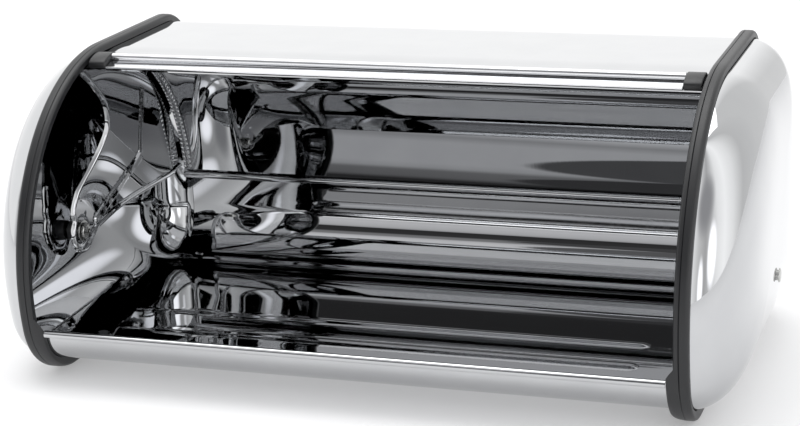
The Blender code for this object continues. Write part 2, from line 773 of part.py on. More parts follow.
def main():
    """Build every piece of the bread box."""
    clear_scene()
    parts = new_collection("bread_box")
    cutters = new_collection("cutters")

    polished = material("polished_stainless", (0.80, 0.80, 0.80), 1.0, 0.08)
    chrome = material("chrome_profile", (0.86, 0.86, 0.86), 1.0, 0.06)
    trim_plastic = material("charcoal_trim_plastic", (0.055, 0.055, 0.058), 0.0, 0.45)
    cap_plastic = material("black_cap_plastic", (0.030, 0.030, 0.032), 0.0, 0.40)
    fastener = material("zinc_fastener_steel", (0.62, 0.62, 0.61), 1.0, 0.22)
    nylon = material("white_nylon", (0.75, 0.75, 0.72), 0.0, 0.50)

    pivot = bpy.data.objects.new("lid_pivot", None)
    pivot.location = (0, PIVOT_Y, PIVOT_Z)
    parts.objects.link(pivot)

    build_casing(parts, polished)
    build_lid_sheet(parts, polished, pivot)
    build_handle(parts, chrome, cap_plastic, pivot)
    for side in (-1, 1):
        build_rim_trim(side, parts, trim_plastic)
        build_end_cap(side, parts, cutters, polished)
        build_arm(side, parts, cutters, polished, pivot)
        build_seam_strip(side, parts, polished, pivot)
        build_pivot(side, parts, cutters, (fastener, nylon), pivot)


main()
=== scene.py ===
"""Roll-top bread box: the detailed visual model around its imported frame.

Lengths are metres. X runs along the box, the opening faces -Y and +Z is up. Side positions are
(y, z) pairs, and angles about the lid pivot run from +Y towards +Z.
"""

import json
import logging
import math
from dataclasses import dataclass
from enum import Enum

import bmesh
import bpy
from mathutils import Matrix, Vector


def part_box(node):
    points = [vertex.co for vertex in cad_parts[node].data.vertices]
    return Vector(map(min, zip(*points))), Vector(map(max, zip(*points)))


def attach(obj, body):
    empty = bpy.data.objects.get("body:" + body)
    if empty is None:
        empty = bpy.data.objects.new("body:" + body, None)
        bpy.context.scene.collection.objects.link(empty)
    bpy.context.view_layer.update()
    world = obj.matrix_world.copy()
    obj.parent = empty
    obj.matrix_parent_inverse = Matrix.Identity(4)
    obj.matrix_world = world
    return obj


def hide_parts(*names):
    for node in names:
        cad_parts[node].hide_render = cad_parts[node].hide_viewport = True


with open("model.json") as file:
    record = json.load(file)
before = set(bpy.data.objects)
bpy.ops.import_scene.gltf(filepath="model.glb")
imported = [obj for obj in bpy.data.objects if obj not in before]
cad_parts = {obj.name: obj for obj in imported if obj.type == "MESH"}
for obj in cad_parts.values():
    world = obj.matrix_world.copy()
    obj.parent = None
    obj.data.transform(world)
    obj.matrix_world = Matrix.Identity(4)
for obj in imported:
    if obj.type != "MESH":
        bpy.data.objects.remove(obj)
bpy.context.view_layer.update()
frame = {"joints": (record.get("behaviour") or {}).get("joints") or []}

LOG = logging.getLogger("bread_box")
PIVOT = frame["joints"][0]["pos_m"]
PIVOT_Y, PIVOT_Z = PIVOT[1], PIVOT[2]
TRIM_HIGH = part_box("right_rim_trim")[1]
SHEET = 0.0008            # gauge of the casing and the lid sheet
FIT = 0.0003              # clearance between pieces that meet
BOSS_GAP = 0.0086         # from the dome wall in to the arm's boss, middle to middle
SHARP_ANGLE = 38.0        # degrees; a bend sharper than this keeps a crisp edge
MERGE_DISTANCE = 0.000002
KNOT_STEPS = 40           # positions read between two knots of a smooth curve
FRONT_STEPS = 90
FRONT_CORNER_STEPS = 40
REAR_CORNER_STEPS = 32
FLOOR_STEPS = 24
STRAIGHT_STEPS = 16
QUARTER_STEPS = 8         # facets round a small quarter turn

Pair = tuple[float, float]
Triple = tuple[float, float, float]


class Side(Enum):
    """An end of the box."""

    LEFT = -1
    RIGHT = 1

    @property
    def prefix(self) -> str:
        """Start of the names of the pieces at this end."""
        return self.name.lower()


class Body(Enum):
    """The bodies that pieces ride on."""

    CASING = "casing"
    LID = "lid"


class Slot(Enum):
    """The record's material slots."""

    SHEET = "polished_sheet"
    CHROME = "chrome_profile"
    TRIM = "rim_trim"
    CAP = "handle_cap"
    FASTENER = "fasteners"
    BUSH = "pivot_bush"


def linear(colour: str) -> tuple[float, float, float, float]:
    """Linear colour of an sRGB hex value.

    Args:
        colour: "#RRGGBB".

    Returns:
        Red, green, blue and an alpha of one.
    """
    shares = [int(colour[place:place + 2], 16) / 255 for place in (1, 3, 5)]
    red, green, blue = (
        share / 12.92 if share <= 0.04045 else ((share + 0.055) / 1.055) ** 2.4 for share in shares
    )
    return (red, green, blue, 1.0)


def add_node(tree: bpy.types.NodeTree, kind: str, inputs: dict | None = None,
             **settings: object) -> bpy.types.Node:
    """Add a shader node with its settings, values and links.

    Args:
        tree: the node tree it goes in.
        kind: the node's Blender type name.
        inputs: socket name or number to a value, or to the output socket linked to it.
        settings: properties of the node itself.

    Returns:
        The new node.
    """
    made = tree.nodes.new(kind)
    for name, value in settings.items():
        setattr(made, name, value)
    for key, value in (inputs or {}).items():
        if isinstance(value, bpy.types.NodeSocket):
            tree.links.new(value, made.inputs[key])
        else:
            made.inputs[key].default_value = value
    return made


def new_material(name: str) -> tuple[bpy.types.Material, bpy.types.NodeTree, bpy.types.NodeSocket]:
    """Start a node material.

    Args:
        name: the real material and how its surface was made.

    Returns:
        The material, its empty tree, and the object coordinates in metres.
    """
    made = bpy.data.materials.new(name)
    made.use_nodes = True
    tree = made.node_tree
    tree.nodes.clear()
    place = add_node(tree, "ShaderNodeTexCoord").outputs["Object"]
    return made, tree, place


def close_material(tree: bpy.types.NodeTree, inputs: dict) -> None:
    """Add the shader with its inputs and link it to the output.

    Args:
        tree: the material's tree.
        inputs: the Principled shader's values and links.
    """
    shader = add_node(tree, "ShaderNodeBsdfPrincipled", inputs)
    add_node(tree, "ShaderNodeOutputMaterial", {"Surface": shader.outputs[0]})


def pattern(tree: bpy.types.NodeTree, place: bpy.types.NodeSocket, size: Triple,
            detail: float) -> bpy.types.NodeSocket:
    """Random pattern of a real size.

    Args:
        tree: the material's tree.
        place: the object coordinates in metres.
        size: length of one wave along each axis, in metres.
        detail: how many finer layers it has.

    Returns:
        The pattern's value.
    """
    scale = tuple(1 / length for length in size)
    waves = add_node(tree, "ShaderNodeMapping", {"Vector": place, "Scale": scale}).outputs[0]
    return add_node(tree, "ShaderNodeTexNoise", {"Vector": waves, "Scale": 1.0, "Detail": detail}).outputs[0]


@dataclass(frozen=True)
class PolishedSheet:
    """Stainless sheet, cold rolled and mirror polished.

    It gives the eye clear, slightly rippled reflections with faint lines across the box.
    """

    name: str = "stainless_sheet_mirror_polished"
    colour: str = "#C8C9CA"
    worn_colour: str = "#BDBEC0"
    roughness: float = 0.012
    roughness_spread: float = 0.022
    rough_from: Pair = (0.10, 0.45)  # pattern values with the least and the most roughness
    ripple_size: Triple = (0.075, 0.075, 0.075)  # rolling waves, 50 to 100 mm on thin sheet
    ripple_height: float = 0.00005
    line_size: Triple = (0.0022, 0.30, 0.30)  # polishing lines, about 0.3 mm, drawn coarser to show
    line_height: float = 0.0000012
    smudge_size: Triple = (0.03, 0.03, 0.03)

    def build(self) -> bpy.types.Material:
        """Make the node material."""
        made, tree, place = new_material(self.name)
        ripple = pattern(tree, place, self.ripple_size, 0.0)
        lines = pattern(tree, place, self.line_size, 3.0)
        smudge = pattern(tree, place, self.smudge_size, 4.0)
        both = add_node(tree, "ShaderNodeMath", {0: lines, 1: smudge}, operation="MULTIPLY")
        rough = add_node(tree, "ShaderNodeMapRange", {
            "Value": both.outputs[0], "From Min": self.rough_from[0], "From Max": self.rough_from[1],
            "To Min": self.roughness, "To Max": self.roughness + self.roughness_spread})
        tint = add_node(tree, "ShaderNodeMix", {
            "Factor": smudge, "A": linear(self.colour), "B": linear(self.worn_colour)}, data_type="RGBA")
        low = add_node(tree, "ShaderNodeBump", {
            "Height": ripple, "Strength": 1.0, "Distance": self.ripple_height})
        fine = add_node(tree, "ShaderNodeBump", {
            "Height": lines, "Strength": 1.0, "Distance": self.line_height, "Normal": low.outputs[0]})
        close_material(tree, {
            "Base Color": tint.outputs["Result"], "Metallic": 1.0,
            "Roughness": rough.outputs[0], "Normal": fine.outputs[0]})
        return made


@dataclass(frozen=True)
class BrightChrome:
    """Steel profile, bright chrome plated: a clean hard mirror with the lightest haze."""

    name: str = "steel_profile_bright_chrome_plated"
    colour: str = "#E6E7E9"
    roughness: float = 0.06
    haze: float = 0.05
    haze_size: Triple = (0.06, 0.004, 0.004)  # rolled profile, so the haze runs along it
    haze_height: float = 0.000004

    def build(self) -> bpy.types.Material:
        """Make the node material."""
        made, tree, place = new_material(self.name)
        haze = pattern(tree, place, self.haze_size, 4.0)
        rough = add_node(tree, "ShaderNodeMapRange", {
            "Value": haze, "To Min": self.roughness, "To Max": self.roughness + self.haze})
        bump = add_node(tree, "ShaderNodeBump", {
            "Height": haze, "Strength": 1.0, "Distance": self.haze_height})
        close_material(tree, {
            "Base Color": linear(self.colour), "Metallic": 1.0,
            "Roughness": rough.outputs[0], "Normal": bump.outputs[0]})
        return made


@dataclass(frozen=True)
class MouldedPlastic:
    """Thermoplastic, injection moulded in a spark-textured tool: satin, with a fine soft grain."""

    name: str
    colour: str
    light_colour: str
    roughness: float
    roughness_spread: float = 0.10
    ior: float = 1.49
    grain_size: Triple = (0.0009, 0.0009, 0.0009)  # spark texture, about 0.2 mm, drawn coarser to show
    grain_height: float = 0.00002
    grain_strength: float = 0.6
    flow_size: Triple = (0.02, 0.02, 0.02)

    def build(self) -> bpy.types.Material:
        """Make the node material."""
        made, tree, place = new_material(self.name)
        grain = pattern(tree, place, self.grain_size, 3.0)
        flow = pattern(tree, place, self.flow_size, 2.0)
        tint = add_node(tree, "ShaderNodeMix", {
            "Factor": flow, "A": linear(self.colour), "B": linear(self.light_colour)}, data_type="RGBA")
        rough = add_node(tree, "ShaderNodeMapRange", {
            "Value": grain, "To Min": self.roughness, "To Max": self.roughness + self.roughness_spread})
        bump = add_node(tree, "ShaderNodeBump", {
            "Height": grain, "Strength": self.grain_strength, "Distance": self.grain_height})
        close_material(tree, {
            "Base Color": tint.outputs["Result"], "Metallic": 0.0, "IOR": self.ior,
            "Roughness": rough.outputs[0], "Normal": bump.outputs[0]})
        return made


@dataclass(frozen=True)
class PlatedFastener:
    """Turned steel, zinc plated: a greyer metal with fine turning marks and dull patches."""

    name: str = "steel_turned_zinc_plated"
    colour: str = "#C9C9C6"
    dull_colour: str = "#A9AAA8"
    roughness: float = 0.16
    roughness_spread: float = 0.16
    mark_size: Triple = (0.0012, 0.0012, 0.0012)  # turning marks, about 0.1 mm, drawn coarser to show
    mark_height: float = 0.00002
    mark_strength: float = 0.5

    def build(self) -> bpy.types.Material:
        """Make the node material."""
        made, tree, place = new_material(self.name)
        marks = pattern(tree, place, self.mark_size, 4.0)
        tint = add_node(tree, "ShaderNodeMix", {
            "Factor": marks, "A": linear(self.colour), "B": linear(self.dull_colour)}, data_type="RGBA")
        rough = add_node(tree, "ShaderNodeMapRange", {
            "Value": marks, "To Min": self.roughness, "To Max": self.roughness + self.roughness_spread})
        bump = add_node(tree, "ShaderNodeBump", {
            "Height": marks, "Strength": self.mark_strength, "Distance": self.mark_height})
        close_material(tree, {
            "Base Color": tint.outputs["Result"], "Metallic": 1.0,
            "Roughness": rough.outputs[0], "Normal": bump.outputs[0]})
        return made


@dataclass(frozen=True)
class LitBoard:
    """Opal acrylic board, matt and lit from below: plain and pale, so that shadows stay faint."""

    name: str = "opal_acrylic_board_matt_lit"
    colour: str = "#DCDCDC"
    shade_colour: str = "#D8D8D9"
    glow: float = 0.42
    roughness: float = 0.8
    gloss: float = 0.1
    mottle_size: Triple = (0.4, 0.4, 0.4)

    def build(self) -> bpy.types.Material:
        """Make the node material."""
        made, tree, place = new_material(self.name)
        mottle = pattern(tree, place, self.mottle_size, 2.0)
        tint = add_node(tree, "ShaderNodeMix", {
            "Factor": mottle, "A": linear(self.colour), "B": linear(self.shade_colour)}, data_type="RGBA")
        close_material(tree, {
            "Base Color": tint.outputs["Result"], "Roughness": self.roughness,
            "Specular IOR Level": self.gloss,
            "Emission Color": tint.outputs["Result"], "Emission Strength": self.glow})
        return made


Finishes = dict[Slot, bpy.types.Material]


def build_finishes() -> Finishes:
    """Build every finish of the box once, each under its slot."""
    looks = {
        Slot.SHEET: PolishedSheet(),
        Slot.CHROME: BrightChrome(),
        Slot.TRIM: MouldedPlastic("polypropylene_charcoal_satin_moulded", "#1B1C1E", "#202123", 0.36),
        Slot.CAP: MouldedPlastic("polypropylene_black_satin_moulded", "#161719", "#1A1B1D", 0.34),
        Slot.FASTENER: PlatedFastener(),
        Slot.BUSH: MouldedPlastic("nylon_black_moulded", "#28292B", "#2D2E30", 0.42),
    }
    return {slot: look.build() for slot, look in looks.items()}


def polar(radius: float, degrees: float) -> Pair:
    """Side position at a radius and angle about the lid pivot."""
    angle = math.radians(degrees)
    return (PIVOT_Y + radius * math.cos(angle), PIVOT_Z + radius * math.sin(angle))


def about_pivot(place: Pair) -> Pair:
    """Radius and angle, in degrees, of a side position about the lid pivot."""
    across, up = place[0] - PIVOT_Y, place[1] - PIVOT_Z
    return (math.hypot(across, up), math.degrees(math.atan2(up, across)))


def arc(centre: Pair, radius: float, start: float, end: float, steps: int) -> list[Pair]:
    """Side positions along an arc, both ends included, angles in degrees."""
    angles = (math.radians(start + (end - start) * step / steps) for step in range(steps + 1))
    return [(centre[0] + radius * math.cos(angle), centre[1] + radius * math.sin(angle)) for angle in angles]


def mix(first: Pair, second: Pair, share: float) -> Pair:
    """Position a share of the way between two side positions."""
    return (first[0] + (second[0] - first[0]) * share, first[1] + (second[1] - first[1]) * share)


def run(first: Pair, second: Pair, steps: int) -> list[Pair]:
    """Positions between two side positions, both ends left out."""
    return [mix(first, second, step / steps) for step in range(1, steps)]


def smooth(value: float) -> float:
    """Smooth step from 0 to 1 as the value goes from 0 to 1."""
    share = min(1.0, max(0.0, value))
    return share * share * (3 - 2 * share)


def spread(half: float, steps: int) -> list[float]:
    """Even stations from minus to plus a half length."""
    return [-half + 2 * half * step / steps for step in range(steps + 1)]


def rolled_edge(start: Pair, heading: float, towards: float, radius: float, turn: float,
                steps: int) -> list[Pair]:
    """Rolled edge that carries on from the end of a path.

    Args:
        start: last position of the path.
        heading: direction of travel there, in degrees.
        towards: direction from the start to the middle of the roll, in degrees.
        radius: middle radius of the roll.
        turn: how far it rolls, in degrees.
        steps: how many positions it has.

    Returns:
        The positions of the roll, without the start.
    """
    angle = math.radians(towards)
    centre = (start[0] + radius * math.cos(angle), start[1] + radius * math.sin(angle))
    sense = 1 if math.sin(math.radians(towards - heading)) > 0 else -1
    return arc(centre, radius, towards + 180, towards + 180 + sense * turn, steps)[1:]


def smooth_path(knots: list[Pair], steps: int) -> list[Pair]:
    """Even positions along a smooth curve through knots.

    Args:
        knots: side positions that the curve passes through.
        steps: how many equal lengths the curve is cut into.

    Returns:
        steps + 1 positions, both ends included.
    """
    padded = [knots[0], *knots, knots[-1]]
    dense = []
    for before, start, end, after in zip(padded, padded[1:], padded[2:], padded[3:]):
        for step in range(KNOT_STEPS):
            t = step / KNOT_STEPS
            place = []
            for a, b, c, d in zip(before, start, end, after):
                bend = 2 * a - 5 * b + 4 * c - d
                twist = 3 * b - a - 3 * c + d
                place.append(0.5 * (2 * b + (c - a) * t + bend * t * t + twist * t ** 3))
            dense.append(tuple(place))
    dense.append(knots[-1])
    lengths = [0.0]
    for first, second in zip(dense, dense[1:]):
        lengths.append(lengths[-1] + math.dist(first, second))
    path = []
    index = 0
    for step in range(steps + 1):
        wanted = lengths[-1] * step / steps
        while index < len(dense) - 2 and lengths[index + 1] < wanted:
            index += 1
        share = (wanted - lengths[index]) / max(1e-9, lengths[index + 1] - lengths[index])
        path.append(mix(dense[index], dense[index + 1], min(1.0, share)))
    return path


def grid(rows: list[list[Triple]], close_rows: bool = False,
         close_columns: bool = False) -> bmesh.types.BMesh:
    """Surface through rows of points, each row as long as the others.

    Args:
        rows: the points.
        close_rows: join the last row to the first.
        close_columns: join the last point of each row to its first.

    Returns:
        The surface, with its normals made consistent.
    """
    mesh = bmesh.new()
    verts = [[mesh.verts.new(point) for point in row] for row in rows]
    for i in range(len(verts) - (0 if close_rows else 1)):
        lower, upper = verts[i], verts[(i + 1) % len(verts)]
        for j in range(len(lower) - (0 if close_columns else 1)):
            after = (j + 1) % len(lower)
            mesh.faces.new((lower[j], lower[after], upper[after], upper[j]))
    bmesh.ops.remove_doubles(mesh, verts=mesh.verts, dist=MERGE_DISTANCE)
    bmesh.ops.recalc_face_normals(mesh, faces=mesh.faces)
    return mesh


def extrusion(outline: list[Pair], start: float, end: float) -> bmesh.types.BMesh:
    """Closed side outline run along X, with both ends capped.

    Args:
        outline: side positions in order.
        start: where it starts along X.
        end: where it ends along X.

    Returns:
        The closed surface.
    """
    mesh = bmesh.new()
    near, far = ([mesh.verts.new((x, y, z)) for y, z in outline] for x in (start, end))
    mesh.faces.new(near)
    mesh.faces.new(far)
    for index in range(len(outline)):
        after = (index + 1) % len(outline)
        mesh.faces.new((near[index], near[after], far[after], far[index]))
    bmesh.ops.recalc_face_normals(mesh, faces=mesh.faces)
    return mesh


def turned(profile: list[Pair], side: Side, steps: int = 72) -> bmesh.types.BMesh:
    """Piece turned about the lid pivot.

    Args:
        profile: (distance out from the middle of the box, radius). A profile whose first
            radius is not zero closes on itself, as a ring's does.
        side: the end of the box that it is at.
        steps: facets round the axis.

    Returns:
        The closed surface.
    """
    rows = []
    for step in range(steps):
        angle = math.tau * step / steps
        rows.append([
            (side.value * out, PIVOT_Y + radius * math.cos(angle), PIVOT_Z + radius * math.sin(angle))
            for out, radius in profile])
    return grid(rows, close_rows=True, close_columns=profile[0][1] > 0)


def link(name: str, data: bpy.types.ID) -> bpy.types.Object:
    """Put a mesh, a light or a camera into the scene.

    Args:
        name: name of the object.
        data: what it shows.

    Returns:
        The object.
    """
    thing = bpy.data.objects.new(name, data)
    bpy.context.scene.collection.objects.link(thing)
    return thing


def mesh_object(name: str, mesh: bmesh.types.BMesh) -> bpy.types.Object:
    """Put a finished surface into the scene as an object, and free the surface.

    Args:
        name: name of the object and of its mesh.
        mesh: the surface.

    Returns:
        The object.
    """
    data = bpy.data.meshes.new(name)
    mesh.to_mesh(data)
    mesh.free()
    return link(name, data)


@dataclass
class Piece:
    """One visible piece: its mesh, the slot that gives its finish, and what it stands for."""

    name: str
    mesh: bmesh.types.BMesh
    body: Body
    slot: Slot
    nodes: tuple[str, ...]
    thickness: float = 0.0
    even: bool = True            # keep the full thickness round bends, where none is very sharp
    rounding: float = 0.0
    rounding_steps: int = 3
    cutters: tuple[bpy.types.Object, ...] = ()

    def place(self, finishes: Finishes) -> bpy.types.Object:
        """Make the object, apply its modifiers, and tie it to the frame.

        Args:
            finishes: the finish of each slot.

        Returns:
            The finished object.
        """
        thing = mesh_object(self.name, self.mesh)
        thing.data.materials.append(finishes[self.slot])
        if self.thickness:
            sheet = thing.modifiers.new("sheet", "SOLIDIFY")
            sheet.thickness = self.thickness
            sheet.offset = 0
            sheet.use_even_offset = self.even
        for cutter in self.cutters:
            cut = thing.modifiers.new("cut", "BOOLEAN")
            cut.solver = "EXACT"
            cut.object = cutter
        if self.rounding:
            bevel = thing.modifiers.new("round", "BEVEL")
            bevel.width = self.rounding
            bevel.segments = self.rounding_steps
            bevel.angle_limit = math.radians(SHARP_ANGLE)
        self.apply(thing)
        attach(thing, self.body.value)
        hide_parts(*self.nodes)
        LOG.info("%s: %d faces on %s", self.name, len(thing.data.polygons), self.body.value)
        return thing

    def apply(self, thing: bpy.types.Object) -> None:
        """Replace the mesh by its modified form, shaded smooth up to sharp edges.

        Args:
            thing: the object to work on.
        """
        bpy.context.view_layer.update()
        if thing.modifiers:
            graph = bpy.context.evaluated_depsgraph_get()
            final = bpy.data.meshes.new_from_object(thing.evaluated_get(graph))
            thing.modifiers.clear()
            thing.data = final
        for cutter in self.cutters:
            bpy.data.objects.remove(cutter)
        thing.data.shade_smooth()
        thing.data.set_sharp_from_angle(angle=math.radians(SHARP_ANGLE))


@dataclass(frozen=True)
class SideOutline:
    """Closed side shape: a round front about the pivot and three round corners."""

    radius: float
    floor: float
    back: float
    front_corner: float
    low_corner: float
    high_corner: float

    def inset(self, depth: float) -> "SideOutline":
        """The same shape moved inwards.

        Args:
            depth: how far.

        Returns:
            The smaller outline.
        """
        return SideOutline(
            self.radius - depth, self.floor + depth, self.back - depth,
            self.front_corner - depth, self.low_corner - depth, self.high_corner - depth)

    def corner_centre(self) -> Pair:
        """Centre of the front corner, tangent to the round front and the floor."""
        height = self.floor + self.front_corner
        reach = math.sqrt((self.radius - self.front_corner) ** 2 - (PIVOT_Z - height) ** 2)
        return (PIVOT_Y - reach, height)

    def corner_angle(self) -> float:
        """Angle about the pivot where the round front meets the front corner."""
        centre = self.corner_centre()
        return 180 + math.degrees(math.atan2(PIVOT_Z - centre[1], PIVOT_Y - centre[0]))

    def front(self, start: float, end: float, steps: int) -> list[Pair]:
        """Part of the round front between two angles about the pivot."""
        return arc((PIVOT_Y, PIVOT_Z), self.radius, start, end, steps)

    def front_corner_arc(self) -> list[Pair]:
        """Front corner, from the round front to the floor."""
        return arc(self.corner_centre(), self.front_corner, self.corner_angle(), 270, FRONT_CORNER_STEPS)

    def low_corner_arc(self) -> list[Pair]:
        """Rear lower corner, from the floor to the back."""
        centre = (self.back - self.low_corner, self.floor + self.low_corner)
        return arc(centre, self.low_corner, 270, 360, REAR_CORNER_STEPS)

    def high_corner_arc(self) -> list[Pair]:
        """Rear upper corner, from the back to the flat top."""
        centre = (self.back - self.high_corner, PIVOT_Z + self.radius - self.high_corner)
        return arc(centre, self.high_corner, 0, 90, REAR_CORNER_STEPS)

    def points(self) -> list[Pair]:
        """Whole closed outline, from the top of the round front, forwards and down."""
        front = self.front(90, self.corner_angle(), FRONT_STEPS)
        corner = self.front_corner_arc()
        low = self.low_corner_arc()
        high = self.high_corner_arc()
        return [
            *front, *corner[1:], *run(corner[-1], low[0], FLOOR_STEPS), *low,
            *run(low[-1], high[0], STRAIGHT_STEPS), *high, *run(high[-1], front[0], STRAIGHT_STEPS)]


TRIM_DEPTH = 0.0043       # from the trim's outer ridge to the seam it covers
RIDGE = SideOutline(
    radius=TRIM_HIGH.z - PIVOT_Z, floor=0.0, back=TRIM_HIGH.y,
    front_corner=0.044, low_corner=0.038, high_corner=0.036)
SEAM = SideOutline(
    radius=RIDGE.radius - TRIM_DEPTH, floor=0.010, back=RIDGE.back - TRIM_DEPTH,
    front_corner=0.024, low_corner=0.034, high_corner=0.032)
WALL = SEAM.inset(FIT + SHEET / 2)
RIM_X = 0.188             # from the middle of the box to either rim


@dataclass
class DomedEnd:
    """Drawn end of the casing with its seam flange."""

    finishes: Finishes
    rise: float = 0.0325
    fullness: float = 4.4
    rings: int = 64
    crowding: float = 0.8        # below 1, the rings crowd together at the shoulder
    innermost: float = 0.0005

    def share(self, place: Pair) -> float:
        """Share of the way from the middle of the dome to its wall outline.

        Args:
            place: a side position inside the outline.

        Returns:
            0 at the middle and 1 at the outline.
        """
        centre = self.centre()
        reach = (place[0] - centre[0], place[1] - centre[1])
        outline = WALL.points()
        best = 0.0
        for first, second in zip(outline, outline[1:] + outline[:1]):
            edge = (second[0] - first[0], second[1] - first[1])
            start = (first[0] - centre[0], first[1] - centre[1])
            cross = reach[0] * edge[1] - reach[1] * edge[0]
            if abs(cross) < 1e-14:
                continue
            along = (start[0] * edge[1] - start[1] * edge[0]) / cross
            across = (start[0] * reach[1] - start[1] * reach[0]) / cross
            if along > 0 and -1e-9 <= across <= 1 + 1e-9:
                best = max(best, 1 / along)
        return best

    def out(self, share: float) -> float:
        """Distance of the dome wall from the rim plane at a share of the way out."""
        return self.rise * math.sqrt(max(0.0, 1 - share ** self.fullness))

    def centre(self) -> Pair:
        """Side position of the middle of the dome."""
        return (RIDGE.back - RIDGE.radius, (TRIM_HIGH.z + SEAM.floor) / 2)

    def build(self, side: Side) -> None:
        """Build the dome at one end.

        Args:
            side: the end of the box.
        """
        centre = self.centre()
        wall = WALL.points()
        flange = [mix(outer, inner, 0.5) for outer, inner in zip(RIDGE.points(), SEAM.points())]
        rows = [[(side.value * RIM_X, y, z) for y, z in flange]]
        for ring in range(self.rings + 1):
            share = math.sin(math.pi / 2 * (1 - ring / self.rings)) ** self.crowding
            share = max(share, self.innermost)
            x = side.value * (RIM_X + self.out(share))
            rows.append([(x, *mix(centre, point, share)) for point in wall])
        mesh = grid(rows, close_columns=True)
        Piece(f"{side.prefix}_domed_end", mesh, Body.CASING, Slot.SHEET,
              (f"{side.prefix}_end_cap",), thickness=SHEET).place(self.finishes)


@dataclass
class RimTrim:
    """Moulded trim over the seam between sheet and dome; its bottom run is the foot."""

    finishes: Finishes
    width: float = 0.0084
    crown: float = 0.0030
    shoulder: float = 0.40       # depth of the rounded shoulders, as a share
    slot_floor: float = 0.42
    leg_step: float = 0.7        # share of the depth where the legs' lower stretch begins
    groove_width: float = 0.0007  # sharp line moulded along the crown's inner edge
    groove_depth: float = 0.10
    lug_reach: float = 0.0042
    lug_start: float = 190.7     # degrees about the pivot
    lug_run_in: float = 3.0
    lug_end: float = 262.0
    lug_run_out: float = 30.0

    def lug(self, degrees: float) -> float:
        """Extra width beside the front lip at an angle about the pivot."""
        rise = smooth((degrees - self.lug_start) / self.lug_run_in)
        return self.lug_reach * rise * smooth((self.lug_end - degrees) / self.lug_run_out)

    def section(self, leg: float) -> list[Pair]:
        """Closed section as (across, share of the depth), round-shouldered with a slot.

        Args:
            leg: half width of the inner leg.

        Returns:
            The section's points in order.
        """
        half, crown = self.width / 2, self.crown / 2
        points = [(-leg, 1.0), (-leg, self.leg_step)]
        for step in range(QUARTER_STEPS + 1):
            turn = math.pi / 2 * step / QUARTER_STEPS
            points.append((-crown - (leg - crown) * math.cos(turn), self.shoulder * (1 - math.sin(turn))))
        points += [(self.groove_width / 2 - crown, self.groove_depth), (self.groove_width - crown, 0.0)]
        for step in range(QUARTER_STEPS + 1):
            turn = math.pi / 2 * (1 - step / QUARTER_STEPS)
            points.append((crown + (half - crown) * math.cos(turn), self.shoulder * (1 - math.sin(turn))))
        slot = SHEET / 2 + FIT
        points += [(half, self.leg_step), (half, 1.0), (slot, 1.0), (slot, self.slot_floor)]
        return points + [(-slot, self.slot_floor), (-slot, 1.0)]

    def build(self, side: Side) -> None:
        """Build the trim at one end.

        Args:
            side: the end of the box.
        """
        rows = []
        for outer, inner in zip(RIDGE.points(), SEAM.points()):
            leg = self.width / 2 + self.lug(about_pivot(inner)[1] % 360)
            rows.append([(side.value * (RIM_X + across), *mix(outer, inner, share))
                         for across, share in self.section(leg)])
        mesh = grid(rows, close_rows=True, close_columns=True)
        Piece(f"{side.prefix}_rim_channel", mesh, Body.CASING, Slot.TRIM,
              (f"{side.prefix}_rim_trim",)).place(self.finishes)


